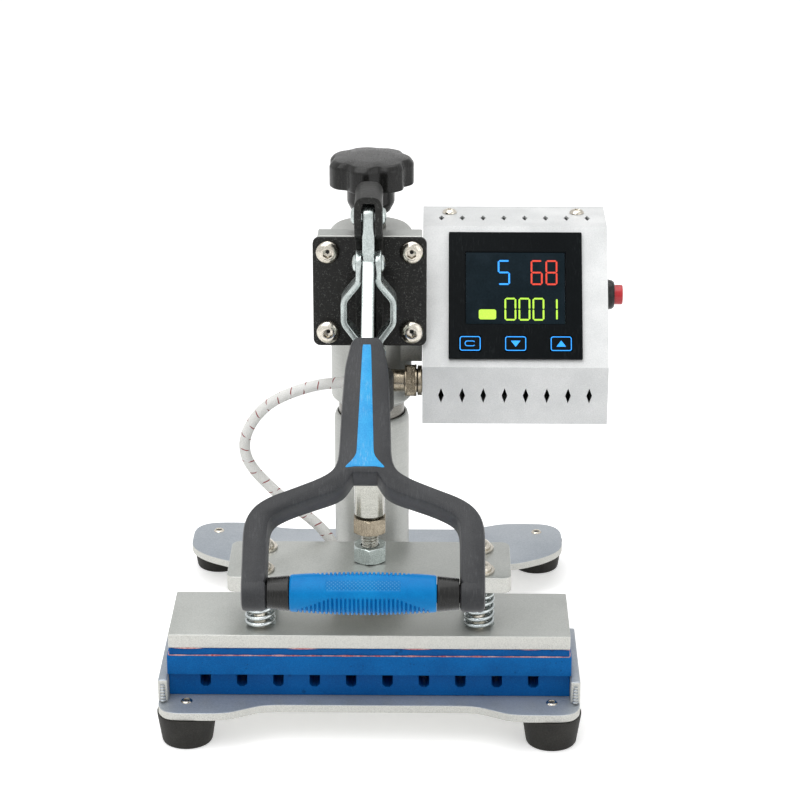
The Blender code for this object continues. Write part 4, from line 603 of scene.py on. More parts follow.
def eased(points: Array, size: float, steps: int = 4, closed: bool = False) -> Array:
    """Rounds the corners of a line.

    Each corner p becomes points of the curve (1-t)^2 a + 2t(1-t) p + t^2 b, where a and b lie
    on its two sides at the given size, or at 0.45 of the side where that is less.

    Args:
        points: the line's corners, one row each.
        size: distance from corner to curve's ends.
        steps: points per corner.
        closed: whether the line closes on itself.

    Returns:
        The rounded line.
    """
    points = np.asarray(points, float)
    corners = points if closed else points[1:-1]
    before = (np.roll(points, 1, 0) if closed else points[:-2]) - corners
    after = (np.roll(points, -1, 0) if closed else points[2:]) - corners
    ends = []
    for side in (before, after):
        long = np.linalg.norm(side, axis=1, keepdims=True)
        ends.append(corners + side / np.maximum(long, 1e-9) * np.minimum(size, long * 0.45))
    t = np.linspace(0.0, 1.0, steps)[None, :, None]
    curve = (1 - t) ** 2 * ends[0][:, None] + 2 * t * (1 - t) * corners[:, None] \
        + t ** 2 * ends[1][:, None]
    curve = curve.reshape(-1, points.shape[1])
    return curve if closed else np.vstack([points[:1], curve, points[-1:]])


def flowing(points: Array, per: int = 8, closed: bool = False) -> Array:
    """A smooth line through its points.

    Between p1 and p2 it is half of 2 p1 + (p2 - p0) t + (2 p0 - 5 p1 + 4 p2 - p3) t^2
    + (3 p1 - p0 - 3 p2 + p3) t^3, with p0 and p3 the points before and after.

    Args:
        points: the points, one row each.
        per: steps between two points.
        closed: whether the line closes on itself.

    Returns:
        The finer line.
    """
    points = np.asarray(points, float)
    if closed:
        padded = np.vstack([points[-1:], points, points[:2]])
    else:
        padded = np.vstack([2 * points[:1] - points[1:2], points, 2 * points[-1:] - points[-2:-1]])
    p0, p1, p2, p3 = (padded[i:len(padded) - 3 + i][:, None] for i in range(4))
    t = np.linspace(0.0, 1.0, per, endpoint=False)[None, :, None]
    line = 0.5 * (2 * p1 + (p2 - p0) * t + (2 * p0 - 5 * p1 + 4 * p2 - p3) * t ** 2
                  + (3 * p1 - p0 - 3 * p2 + p3) * t ** 3)
    line = line.reshape(-1, points.shape[1])
    return line if closed else np.vstack([line, points[-1:]])


def evened(points: Array, count: int) -> Array:
    """The same line with its points at even distances along it.

    Args:
        points: the line.
        count: points wanted.
    """
    run = np.concatenate([[0.0], np.cumsum(np.linalg.norm(np.diff(points, axis=0), axis=1))])
    even = np.linspace(0.0, run[-1], count)
    return np.stack([np.interp(even, run, column) for column in points.T], axis=1)


def rounded_box(half_x: float, half_y: float, corner: float, steps: int = 8) -> Array:
    """A rectangle's outline with round corners.

    Args:
        half_x: half its width.
        half_y: half its height.
        corner: corner radius.
        steps: points per corner.

    Returns:
        Centre of each corner plus corner radius times (cos a, sin a) over its quarter turn.
    """
    turn = np.linspace(0.0, math.pi / 2, steps)[None, :] + np.arange(4)[:, None] * math.pi / 2
    signs = np.array([(1, 1), (-1, 1), (-1, -1), (1, -1)], float)
    centre = signs * np.array([half_x - corner, half_y - corner])
    ring = centre[:, None] + corner * np.stack([np.cos(turn), np.sin(turn)], axis=-1)
    return ring.reshape(-1, 2)


def inward(outline: Array) -> Array:
    """The way in at each point of a closed outline that runs anticlockwise, longer at corners.

    Args:
        outline: the points, one row each.

    Returns:
        The sum of the two sides' normals over one plus their product.
    """
    side = np.roll(outline, -1, 0) - outline
    side /= np.maximum(np.linalg.norm(side, axis=1, keepdims=True), 1e-12)
    after = np.stack([-side[:, 1], side[:, 0]], axis=1)
    before = np.roll(after, 1, 0)
    return (after + before) / (1.0 + np.sum(after * before, axis=1, keepdims=True)).clip(0.4)


def anticlockwise(outline: Array) -> Array:
    """The outline turned so that its area, by the shoelace sum, is positive."""
    x, y = outline.T
    area = np.sum(x * np.roll(y, -1) - y * np.roll(x, -1))
    return outline if area > 0 else outline[::-1]


def skin(name: str, grid: Array, closed: bool = True, caps: str = "") -> Mesh:
    """A mesh over a grid of points, with the grid's two parameters as its map.

    Point (i, j) joins (i + 1, j), (i + 1, j + 1) and (i, j + 1). Columns close on themselves.

    Args:
        name: the mesh's name.
        grid: points by row, column and coordinate.
        closed: whether the columns close.
        caps: "flat" closes the first and last row with one face each.

    Returns:
        The mesh, its doubles merged and its faces turned out.
    """
    rows, columns = grid.shape[:2]
    index = np.arange(rows * columns).reshape(rows, columns)
    if closed:
        index = np.hstack([index, index[:, :1]])
    quads = np.stack([index[:-1, :-1], index[:-1, 1:], index[1:, 1:], index[1:, :-1]], axis=-1)
    faces = quads.reshape(-1, 4).tolist()
    if caps:
        faces += [index[0, :columns].tolist(), index[-1, :columns].tolist()]
    mesh = bpy.data.meshes.new(name)
    mesh.from_pydata(grid.reshape(-1, 3).tolist(), [], faces)
    u, v = np.linspace(0, 1, rows), np.linspace(0, 1, index.shape[1])
    spot = np.stack(np.meshgrid(u, v, indexing="ij"), axis=-1)
    corners = np.stack([spot[:-1, :-1], spot[:-1, 1:], spot[1:, 1:], spot[1:, :-1]], axis=2)
    flat = np.zeros(len(mesh.loops) * 2)
    flat[:corners.size] = corners.reshape(-1)
    mesh.uv_layers.new(name="run").data.foreach_set("uv", flat)
    return sealed(mesh)


def sealed(mesh: Mesh) -> Mesh:
    """Merges the mesh's doubles and turns its faces out.

    Args:
        mesh: the mesh, changed in place.
    """
    shape = bmesh.new()
    shape.from_mesh(mesh)
    bmesh.ops.remove_doubles(shape, verts=shape.verts, dist=MERGE)
    bmesh.ops.recalc_face_normals(shape, faces=shape.faces)
    if shape.calc_volume(signed=True) < 0:
        bmesh.ops.reverse_faces(shape, faces=shape.faces)
    shape.to_mesh(mesh)
    shape.free()
    return mesh


def joined(name: str, meshes: list[Mesh]) -> Mesh:
    """One mesh of several.

    Args:
        name: its name.
        meshes: the meshes, removed afterwards.
    """
    shape = bmesh.new()
    for mesh in meshes:
        shape.from_mesh(mesh)
        bpy.data.meshes.remove(mesh)
    made = bpy.data.meshes.new(name)
    shape.to_mesh(made)
    shape.free()
    return made


def turned(name: str, profile: Array, place: Place, steps: int = FINE, edge: float = 0.3 * MM,
           reach: Array | None = None) -> Mesh:
    """A profile carried round an axis: point = height along it plus radius (cos a, sin a).

    Args:
        name: the mesh's name.
        profile: rows of radius and height.
        place: the axis, as the place's third direction.
        steps: points round it.
        edge: size of the rounding of the profile's corners.
        reach: factor on the radius for each row and column, instead of a plain circle.

    Returns:
        The closed mesh.
    """
    profile = eased(profile, edge) if edge else np.asarray(profile, float)
    angle = np.linspace(0.0, 2 * math.pi, steps, endpoint=False)
    radius = profile[:, :1] * (np.ones((1, steps)) if reach is None else reach)
    height = np.broadcast_to(profile[:, 1:], radius.shape)
    grid = np.stack([radius * np.cos(angle), radius * np.sin(angle), height], axis=-1)
    return skin(name, place.put(grid))


def slab(name: str, outline: Array, low: float, high: float, place: Place = Place(),
         edge: float = 0.4 * MM, steps: int = 4) -> Mesh:
    """An outline carried through a thickness, its edges rounded inwards.

    Rows follow a quarter circle at each end: inset = edge (1 - sin t), height = end plus or
    minus edge (1 - cos t), for t from 0 to a right angle.

    Args:
        name: the mesh's name.
        outline: closed line in the drawing's plane.
        low: lower end of the thickness.
        high: upper end.
        place: where the drawing lies.
        edge: radius of the rounding.
        steps: rows per rounding.

    Returns:
        The closed mesh.
    """
    outline = anticlockwise(np.asarray(outline, float))
    t = np.linspace(0.0, math.pi / 2, steps)
    inset = edge * (1 - np.sin(t))
    rise = edge * (1 - np.cos(t))
    insets = np.concatenate([inset, inset[::-1]])[:, None, None]
    heights = np.concatenate([low + rise, high - rise[::-1]])
    flat = outline[None] + insets * inward(outline)[None]
    tall = np.broadcast_to(heights[:, None, None], (*flat.shape[:2], 1))
    return skin(name, place.put(np.concatenate([flat, tall], axis=-1)), caps="flat")


def strip(name: str, path: Array, thick: float, low: Array | float, high: Array | float,
          place: Place = Place(), edge: float = 0.4 * MM, closed: bool = False) -> Mesh:
    """Bent strip: a rounded rectangle carried along a line in the drawing's plane.

    Column k is path + normal (thick / 2 - edge) s + normal edge cos a, at a height between low
    and high taken the same way, so low and high may change along the path.

    Args:
        name: the mesh's name.
        path: the strip's middle line, rows of x and y.
        thick: thickness across the line, in the plane.
        low: lower side of the strip, one value or one a row.
        high: upper side.
        place: where the drawing lies.
        edge: radius of the strip's long edges.
        closed: whether the line closes on itself.

    Returns:
        The closed mesh.
    """
    path = np.asarray(path, float)
    if closed:
        way = np.roll(path, -1, 0) - np.roll(path, 1, 0)
    else:
        way = np.gradient(path, axis=0)
    way /= np.linalg.norm(way, axis=1, keepdims=True)
    normal = np.stack([-way[:, 1], way[:, 0]], axis=1)
    count = len(path)
    low = np.broadcast_to(np.asarray(low, float), count)[:, None]
    high = np.broadcast_to(np.asarray(high, float), count)[:, None]
    corner = rounded_box(1.0, 1.0, 1.0, 4)
    signs = np.repeat(np.array([(1, 1), (-1, 1), (-1, -1), (1, -1)], float), 4, axis=0)
    half = (high - low) / 2
    bend = np.minimum(edge, np.maximum(half, 1e-5) * 0.9)
    across = (thick / 2 - edge) * signs[:, 0] + edge * corner[:, 0]
    tall = (low + high) / 2 + (half - bend) * signs[:, 1] + bend * corner[:, 1]
    flat = path[:, None] + normal[:, None] * across[None, :, None]
    grid = np.concatenate([flat, tall[..., None]], axis=-1)
    if closed:
        return skin(name, place.put(np.concatenate([grid, grid[:1]])))
    return skin(name, place.put(grid), caps="flat")


def wire(name: str, path: Array, radius: Array | float, sides: int = 12) -> Mesh:
    """A round wire along a line in space, closed at its ends.

    Column j is path + radius (n cos a + b sin a). The pair n, b is carried along the line by
    taking from n, at each step, its part along the way.

    Args:
        name: the mesh's name.
        path: its middle line, rows of x, y and z.
        radius: one value or one a row.
        sides: points round it.

    Returns:
        The closed mesh.
    """
    way = np.gradient(path, axis=0)
    way /= np.linalg.norm(way, axis=1, keepdims=True)
    normals = np.empty_like(path)
    normal = np.cross(way[0], (0.0, 0.0, 1.0) if abs(way[0, 2]) < 0.9 else (0.0, 1.0, 0.0))
    for i, ahead in enumerate(way):
        normal = normal - ahead * np.dot(normal, ahead)
        normal = normal / np.linalg.norm(normal)
        normals[i] = normal
    angle = np.linspace(0.0, 2 * math.pi, sides, endpoint=False)[None, :, None]
    other = np.cross(way, normals)
    size = np.broadcast_to(np.asarray(radius, float), len(path))[:, None, None]
    ring = normals[:, None] * np.cos(angle) + other[:, None] * np.sin(angle)
    return skin(name, path[:, None] + ring * size, caps="flat")


class Workshop:
    """Puts finished pieces into the packed frame and dresses its own nodes."""

    def __init__(self) -> None:
        """Finds the machine's zero under the middle of the mount plate."""
        low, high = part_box("mount_plate")
        self.home = np.array([(low.x + high.x) / 2, (low.y + high.y) / 2, 0.0])
        self.dressed: set[str] = set()

    def add(self, name: str, mesh: Mesh, finish: Finish, body: str,
            replaces: tuple[str, ...] = (), crease: float = 32.0) -> bpy.types.Object:
        """Adds one piece.

        Args:
            name: its name.
            mesh: its mesh in the machine's frame.
            finish: its finish.
            body: the body that it rides on.
            replaces: CAD nodes whose place it takes.
            crease: angle in degrees past which an edge stays sharp.

        Returns:
            The piece.
        """
        spots = np.empty(len(mesh.vertices) * 3)
        mesh.vertices.foreach_get("co", spots)
        mesh.vertices.foreach_set("co", (spots.reshape(-1, 3) + self.home).reshape(-1))
        mesh.materials.clear()
        mesh.materials.append(finish.material())
        mesh.shade_smooth()
        mesh.set_sharp_from_angle(angle=math.radians(crease))
        mesh.update()
        piece = bpy.data.objects.new(name, mesh)
        bpy.context.scene.collection.objects.link(piece)
        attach(piece, body)
        if replaces:
            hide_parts(*replaces)
            self.dressed.update(replaces)
        log.info("%s: %d faces on %s", name, len(mesh.polygons), body)
        return piece

    def dress(self, finish: Finish, *nodes: str) -> None:
        """Gives CAD nodes a finish.

        Args:
            finish: the finish.
            nodes: their names.
        """
        for node in nodes:
            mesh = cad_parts[node].data
            mesh.materials.clear()
            mesh.materials.append(finish.material())
            self.dressed.add(node)
            log.info("%s: dressed in %s", node, finish.name)

    def report_bare(self) -> None:
        """Warns of CAD nodes that are neither dressed nor replaced."""
        for node in sorted(set(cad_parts) - self.dressed):
            log.warning("%s has no finish", node)


FRONT_UP = Axis.FORWARD.value
SIDE_ON = Axis.ACROSS.value
FACING_LEFT = Axis.AGAINST.value

# The sheet's blue-grey tones are a painted reflection of the blue pad and dark surroundings.
SHEET = SheetMetal("rolled_sheet", "silver_paint", (176, 182, 188), (146, 154, 163),
                   roughness=0.36, metallic=0.45, grain=1300, cloud=16, relief=0.00002)
PLATEN_METAL = SheetMetal("platen_metal", "platen_alloy", (196, 198, 194), (164, 167, 163),
                          roughness=0.34, metallic=0.6, grain=1700, cloud=14, relief=0.00002)
CAST_METAL = TurnedMetal("column_metal", "silver_paint", (206, 207, 203), (172, 174, 170),
                         roughness=0.42, metallic=0.45, grain=1900, relief=0.00002,
                         grease=(0.1765, 0.1842))
BOX_PAINT = FlakePaint("box_paint", "box_paint", (232, 233, 233), (206, 208, 208),
                       roughness=0.42, metallic=0.2, grain=2100, cloud=40, relief=0.00004)
CRINKLE = CrinkleCoat("black_crinkle", "black_crinkle", (34, 34, 32), (12, 12, 11),
                      roughness=0.42, grain=1500, relief=0.00012, sheen=0.25)
POST_STEEL = TurnedMetal("post_steel", "turned_steel", (150, 148, 142), (96, 94, 88),
                         roughness=0.3, metallic=0.9, relief=0.00001)
PLUNGER_STEEL = TurnedMetal("plunger_steel", "bright_steel", (200, 200, 193), (146, 146, 138),
                            roughness=0.2, spread=0.06, metallic=1.0, relief=0.000008)
CHROME = PlatedMetal("bright_screw", "bright_steel", (232, 226, 214), (176, 170, 158),
                     roughness=0.14, spread=0.05, metallic=1.0, relief=0.000008)
ZINC = PlatedMetal("zinc_plate", "zinc_steel", (216, 224, 222), (160, 170, 168),
                   roughness=0.24, spread=0.07, metallic=0.92, relief=0.000012)
SPRING_WIRE = PlatedMetal("spring_wire", "bright_steel", (222, 228, 228), (150, 158, 160),
                          roughness=0.16, spread=0.06, metallic=1.0, relief=0.000006)
NICKEL = PlatedMetal("nickel_brass", "nickel_brass", (176, 166, 148), (112, 102, 86),
                     roughness=0.22, spread=0.06, metallic=1.0, relief=0.000008)
FOOT_RUBBER = Finish("foot_rubber", "foot_rubber", (58, 57, 54), (38, 37, 35), roughness=0.62,
                     sheen=0.2, grain=1500, cloud=60, relief=0.00006)
TRAY_BLUE = Silicone("tray_silicone", "tray_silicone", (4, 98, 172), (0, 80, 148), sheen=0.12,
                     roughness=0.42, grain=1500, cloud=28, relief=0.00003, peel=260)
PAD_BLUE = Silicone("pad_silicone", "tray_silicone", (6, 108, 182), (0, 88, 156), sheen=0.12,
                    roughness=0.48, grain=1700, cloud=45, relief=0.00010, peel=620)
GRIP_BLUE = GripRubber("grip_rubber", "grip_rubber", (10, 138, 208), (0, 116, 188), sheen=0.15,
                       roughness=0.40, grain=1800, cloud=50, relief=0.00005)
INLAY_BLUE = ScuffedPlastic("blue_inlay", "blue_plastic", (60, 178, 236), (36, 150, 220),
                            sheen=0.25, roughness=0.42, grain=1400, cloud=90, relief=0.00003)
FORK_GREY = ScuffedPlastic("fork_plastic", "fork_plastic", (70, 71, 73), (50, 51, 53),
                           roughness=0.42, grain=2300, cloud=30, relief=0.00004, sheen=0.2,
                           scuff=(128, 128, 130), scuff_share=0.16)
GLOSS_BLACK = ScuffedPlastic("knob_plastic", "knob_plastic", (30, 30, 29), (18, 18, 17),
                             roughness=0.26, spread=0.06, grain=1500, relief=0.00001,
                             sheen=0.3, scuff=(90, 90, 88), scuff_share=0.14)
BEZEL_BLACK = ScuffedPlastic("bezel_plastic", "bezel_plastic", (17, 21, 23), (10, 13, 15),
                             roughness=0.2, spread=0.05, grain=1500, relief=0.000006,
                             sheen=0.05, scuff=(60, 64, 66), scuff_share=0.12)
INLET_BLACK = ScuffedPlastic("inlet_plastic", "inlet_plastic", (36, 36, 36), (22, 22, 22),
                             roughness=0.5, grain=1500, relief=0.00003,
                             scuff=(90, 90, 88), scuff_share=0.14)
BUTTON_RED = ScuffedPlastic("button_red", "button_red", (206, 22, 36), (168, 10, 26),
                            roughness=0.3, spread=0.06, grain=1500, relief=0.00001, coat=0.2,
                            scuff=(236, 120, 124), scuff_share=0.14)
WINDOW = SmokedGlass("display_glass", "display_glass", (24, 37, 44), (18, 29, 35), sheen=0.05,
                     roughness=0.1, spread=0.03, grain=900, cloud=30, relief=0.000001)
BOARD = CircuitBoard("board_green", "board_green", (40, 110, 62), (24, 84, 44), roughness=0.4)
SLEEVE_WHITE = BraidedSleeve("cable_sleeve", "cable_sleeve", (246, 246, 243), (226, 225, 220),
                             roughness=0.6, grain=1500, cloud=60, relief=0.00006)
ADHESIVE = Silicone("seam_adhesive", "tray_silicone", (232, 190, 184), (176, 40, 34),
                    roughness=0.35, grain=700, cloud=75, relief=0.00005, dust=(244, 226, 222))
LIT_BLUE = Lit("lit_blue", "display_glass", (30, 158, 250), (14, 134, 230), roughness=0.3)
LIT_RED = Lit("lit_red", "display_glass", (214, 58, 26), (186, 40, 18), roughness=0.3)
LIT_GREEN = Lit("lit_green", "display_glass", (178, 222, 64), (146, 196, 44), roughness=0.3)


@dataclass
class BaseStand:
    """Base plate on four rubber feet, with side rails, pen tray and column."""

    half_x: float = 0.127
    front_y: float = -0.053
    length: float = 0.2894
    under: float = 0.020
    thick: float = 0.005
    rail_thick: float = 0.0057
    rail_half: float = 0.038
    rail_top: float = 0.0396
    weld_rise: float = 0.0105
    weld_r: float = 0.0016
    weld_waves: float = 34.0
    column_y: float = 0.062
    column_r: float = 0.023
    column_top: float = 0.176
    outline: tuple[tuple[float, float], ...] = (
        (0.45, 0.0404), (0.52, 0.036), (0.59, 0.020), (0.66, 0.004), (0.725, 0.0),
        (0.913, 0.0), (0.965, 0.0086), (0.992, 0.0276), (1.0, 0.045), (1.0, 0.335),
        (0.98, 0.358), (0.93, 0.374), (0.66, 0.381), (0.55, 0.397), (0.49, 0.432),
        (0.472, 0.473), (0.472, 0.667), (0.488, 0.708), (0.55, 0.739), (0.66, 0.755),
        (0.779, 0.770), (0.898, 0.801), (0.968, 0.833), (1.0, 0.867), (1.0, 0.950),
        (0.976, 0.978), (0.921, 0.9965), (0.85, 1.0), (0.725, 1.0), (0.66, 0.995),
        (0.59, 0.981), (0.52, 0.968), (0.45, 0.964))
    feet: dict[str, tuple[float, float]] = field(default_factory=lambda: {
        "front_left": (-0.110, -0.0367), "front_right": (0.110, -0.0367),
        "rear_left": (-0.110, 0.2215), "rear_right": (0.110, 0.2215)})

    def plate_outline(self) -> Array:
        """The plate's outline: shares of half width and length, mirrored and eased.

        Returns:
            The closed outline.
        """
        right = np.array(self.outline) * (self.half_x, self.length) + (0.0, self.front_y)
        both = np.vstack([right, right[::-1] * (-1.0, 1.0)])
        return eased(eased(both, 0.006, 5, closed=True), 0.003, 3, closed=True)

    def rails(self, shop: Workshop) -> None:
        """The two side rails, each with a weld bead up its front end.

        Args:
            shop: takes the pieces.
        """
        height = np.linspace(0.0, 1.0, 40)
        for name, side in (("left", -1.0), ("right", 1.0)):
            x = side * (self.half_x - self.rail_thick / 2)
            half, foot, top = self.rail_half, self.under + self.thick, self.rail_top
            box = eased([(-half, foot), (half, foot), (half, top), (-half, top)], 0.0016, 5, True)
            rail = slab(f"rail_{name}", box, -self.rail_thick / 2, self.rail_thick / 2,
                        Place((x, 0.0, 0.0), SIDE_ON), 0.9 * MM)
            bead = np.stack([np.full_like(height, x), np.full_like(height, -half - 0.0006),
                             foot + 0.0012 + height * self.weld_rise], axis=1)
            radius = self.weld_r + 0.0005 * np.sin(height * self.weld_waves)
            weld = wire(f"weld_{name}", bead, radius * (1.0 - 0.3 * height), 14)
            shop.add(f"side_rail_{name}", joined(f"side_rail_{name}", [rail, weld]), SHEET, "base")

    def build(self, shop: Workshop) -> None:
        """Builds and dresses everything that stands still.

        Args:
            shop: takes the pieces.
        """
        top = self.under + self.thick
        shop.add("base_sheet", slab("base_sheet", self.plate_outline(), self.under, top,
                                    edge=0.5 * MM), SHEET, "base", ("base_plate",))
        self.rails(shop)
        for name, (x, y) in self.feet.items():
            foot = [(0.0, 0.007), (0.0075, 0.007), (0.0075, 0.0), (0.0146, 0.0), (0.0153, 0.0012),
                    (0.0178, 0.0172), (0.0180, 0.0197), (0.0, 0.0197)]
            shop.add(f"rubber_foot_{name}", turned(f"rubber_foot_{name}", foot, Place((x, y, 0.0)),
                                                   64, 0.6 * MM),
                     FOOT_RUBBER, "base", (f"foot_{name}",))
            screw = [(0.0019, 0.0001), (0.0021, 0.0010), (0.0029, 0.0009), (0.0036, 0.0002),
                     (0.0036, -0.0010), (0.0019, -0.0010), (0.0019, 0.0001)]
            spot = Place((x, y, top))
            shop.add(f"foot_screw_{name}", turned(f"foot_screw_{name}", screw, spot, 32, 0.1 * MM),
                     CHROME, "base")
            # Painted shade: a thin black disc over each screw end stands for the hole, which the
            # solid sheet closes.
            hole = [(0.0, 0.00015), (0.0017, 0.00015), (0.0018, -0.0005), (0.0, -0.0005)]
            shop.add(f"hole_shade_disc_{name}", turned(f"hole_shade_disc_{name}", hole, spot, 32),
                     INLET_BLACK, "base")
        shop.dress(TRAY_BLUE, "pen_tray")
        foot, r = top + 0.0003, self.column_r
        column = [(0.0, 0.055), (0.0205, 0.055), (0.0205, self.column_top),
                  (r - 0.0012, self.column_top), (r, self.column_top - 0.0035), (r, foot),
                  (0.0, foot)]
        shop.add("column_tube", turned("column_tube", column, Place((0.0, self.column_y, 0.0)),
                                       edge=1.2 * MM), CAST_METAL, "base", ("column",))


@dataclass
class SwivelHead:
    """Post, sleeve and cap, which turn and slide on the column."""

    column_y: float = 0.062
    post_r: float = 0.0202
    sleeve_r: float = 0.0245
    sleeve_foot: float = 0.184
    sleeve_top: float = 0.290
    cap_top: float = 0.294

    def build(self, shop: Workshop) -> None:
        """Builds the turned pieces about the column's axis.

        Args:
            shop: takes the pieces.
        """
        place = Place((0.0, self.column_y, 0.0))
        r, bore = self.sleeve_r, self.post_r + 0.0003
        post = [(0.0, 0.205), (0.0062, 0.205), (0.0062, 0.270), (self.post_r, 0.270),
                (self.post_r, 0.0553), (0.0, 0.0553)]
        shop.add("post_bar", turned("post_bar", post, place), POST_STEEL, "post",
                 ("swivel_post",))
        sleeve = [(bore, 0.237), (bore, self.sleeve_top), (r, self.sleeve_top),
                  (r, self.sleeve_foot + 0.003), (r - 0.003, self.sleeve_foot),
                  (bore, self.sleeve_foot), (bore, 0.237)]
        shop.add("sleeve_tube", turned("sleeve_tube", sleeve, place, edge=0.7 * MM), CAST_METAL,
                 "head", ("head_sleeve",))
        low = self.sleeve_top + 0.0003
        cap = [(0.0063, 0.290), (0.0063, self.cap_top), (r - 0.0022, self.cap_top),
               (r, self.cap_top - 0.0022), (r, low), (0.0199, low), (0.0199, 0.287),
               (0.0063, 0.287), (0.0063, 0.290)]
        shop.add("cap_disc", turned("cap_disc", cap, place, edge=0.8 * MM), CAST_METAL, "head",
                 ("sleeve_cap",))


@dataclass
class StarKnob:
    """Star knob on the adjusting screw."""

    column_y: float = 0.062
    lobes: int = 7
    radius: float = 0.0258
    valley: float = 0.0032
    rim_foot: float = 0.321
    top: float = 0.338
    hub_foot: float = 0.304
    hub_r: float = 0.0143
    screw_r: float = 0.0059
    pitch: float = 0.00175

    def build(self, shop: Workshop) -> None:
        """Knob: radius = profile less valley (1 - w)^2, where w = (1 + cos lobes a) / 2.

        The lobes fade towards the crown and the hub, where the valley's share falls to 0.

        Args:
            shop: takes the pieces.
        """
        place = Place((0.0, self.column_y, 0.0))
        r, top, low = self.radius, self.top, self.rim_foot
        profile = eased(np.array([
            (0.0, self.hub_foot + 0.022), (0.0062, self.hub_foot + 0.022),
            (0.0062, self.hub_foot), (self.hub_r - 0.003, self.hub_foot),
            (self.hub_r, self.hub_foot + 0.006), (self.hub_r, low), (r, low),
            (r, top - 0.0040), (r * 0.90, top - 0.0009), (r * 0.5, top - 0.0002), (0.0, top)]),
            1.3 * MM, 6)
        angle = np.linspace(0.0, 2 * math.pi, 196, endpoint=False)
        wave = (1 + np.cos(self.lobes * angle)) / 2
        share = np.clip((profile[:, :1] / r - 0.72) / 0.28, 0.0, 1.0)
        share = share * share * (3 - 2 * share)
        reach = 1.0 - share * (self.valley / r) * (1 - wave[None]) ** 2
        shop.add("lobed_knob", turned("lobed_knob", profile, place, 196, 0.0, reach),
                 GLOSS_BLACK, "knob", ("star_knob",))
        height = np.linspace(0.215, 0.3282, 500)
        s = self.screw_r
        shop.add("pressure_screw", joined("pressure_screw", [
            thread("screw_thread", s, 0.0007, self.pitch, height, place),
            turned("screw_collar", [(0.0, 0.2943), (0.009, 0.2943), (0.009, 0.299), (0.0, 0.299)],
                   place, MIDDLE),
            turned("screw_clip", [(0.0, 0.2827), (0.0085, 0.2827), (0.0085, 0.2867),
                                  (0.0, 0.2867)], place, MIDDLE)]),
            POST_STEEL, "knob", ("adjusting_screw",), crease=50.0)


def thread(name: str, radius: float, depth: float, pitch: float, height: Array,
           place: Place) -> Mesh:
    """A threaded rod: radius less depth times a triangle wave of height over pitch less turn.

    Args:
        name: the mesh's name.
        radius: crest radius.
        depth: thread depth.
        pitch: rise per turn.
        height: the heights of its rows.
        place: its axis.

    Returns:
        The mesh.
    """
    angle = np.linspace(0.0, 2 * math.pi, 32, endpoint=False)
    phase = height[:, None] / pitch - angle[None] / (2 * math.pi)
    wave = 2.0 * np.abs(phase - np.floor(phase) - 0.5)
    reach = radius - depth * np.clip(wave * 1.3 - 0.15, 0.0, 1.0)
    tall = np.broadcast_to(height[:, None], reach.shape)
    grid = np.stack([reach * np.cos(angle), reach * np.sin(angle), tall], axis=-1)
    return skin(name, place.put(grid), caps="flat")


def hexagon(angle: Array, apothem: float) -> Array:
    """Distance from a hexagon's middle to its side: apothem over cos of the angle to its flat."""
    return apothem / np.cos((angle + math.pi / 6) % (math.pi / 3) - math.pi / 6)


def socket_screw(name: str, place: Place, head_r: float, high: float, shank_r: float,
                 shank: float, flange: tuple[float, float] = (0.0, 0.0),
                 across: float = 0.005) -> Mesh:
    """A dome head with a hexagon socket, its seat at the place's zero.

    Rows run from the socket's floor, where the radius is the hexagon's, over a small round lip,
    where it changes from hexagon to circle, down the dome, the flange and the shank.

    Args:
        name: the mesh's name.
        place: the screw's axis, its head upwards.
        head_r: head radius.
        high: head height.
        shank_r: shank radius.
        shank: shank length.
        flange: radius and height of the flange, if any.
        across: width of the socket over its flats.

    Returns:
        The closed mesh.
    """
    angle = np.linspace(0.0, 2 * math.pi, 72, endpoint=False)
    hexed = hexagon(angle, across / 2)
    foot = flange[1]
    t = np.linspace(0.36, 1.0, 9)
    dome = [(head_r * math.sin(v * math.pi / 2), foot + (high - foot) * math.cos(v * math.pi / 2)
             ** 0.75) for v in t]
    dome[-1] = (head_r, foot)
    lip = dome[0][1]
    rows = [(0.0, -0.6 * MM), (0.2, -0.5 * MM), (1.0, 0.1 * MM), (1.0, 0.2 * MM),
            (1.0, lip - 0.25 * MM), (1.06, lip + 0.02 * MM)]
    radii = [share * hexed for share, _ in rows]
    heights = [z for _, z in rows]
    outer = dome + ([(flange[0] - 0.3 * MM, foot), (flange[0], foot - 0.3 * MM), (flange[0], 0.0)]
                    if flange[0] else [(head_r, 0.0)]) + [(shank_r, 0.0), (shank_r, -shank),
                                                          (0.0, -shank)]
    for radius, z in outer:
        radii.append(np.full_like(angle, radius))
        heights.append(z)
    reach = np.array(radii)
    tall = np.broadcast_to(np.array(heights)[:, None], reach.shape)
    grid = np.stack([reach * np.cos(angle), reach * np.sin(angle), tall], axis=-1)
    return skin(name, place.put(grid))


def nut(name: str, place: Place, corner: float, high: float, bore: float) -> Mesh:
    """A hexagon nut: radius = the smaller of the hexagon's and a cone's of 30 degrees.

    Args:
        name: the mesh's name.
        place: its foot and axis.
        corner: radius over its corners.
        high: its height.
        bore: radius of its hole.

    Returns:
        The closed mesh.
    """
    angle = np.linspace(0.0, 2 * math.pi, 144, endpoint=False)
    apothem = corner * math.cos(math.pi / 6)
    rise = np.array([0.0, 0.1, 0.25, 0.45, 0.7, 1.0]) * (corner - apothem) * 0.9
    edge = np.concatenate([rise, high - rise[::-1]])
    near = np.minimum(edge, high - edge)
    cone = apothem * 0.985 + near * 1.75
    sides = np.minimum(hexagon(angle, apothem)[None], cone[:, None])
    ring = np.ones((1, len(angle)))
    reach = np.vstack([ring * bore, ring * (bore + 0.6 * MM), sides, ring * (bore + 0.6 * MM),
                       ring * bore, ring * bore])
    tall = np.concatenate([[0.5 * MM, 0.0], edge, [high, high - 0.5 * MM, 0.5 * MM]])
    tall = np.broadcast_to(tall[:, None], reach.shape)
    grid = np.stack([reach * np.cos(angle), reach * np.sin(angle), tall], axis=-1)
    return skin(name, place.put(grid))


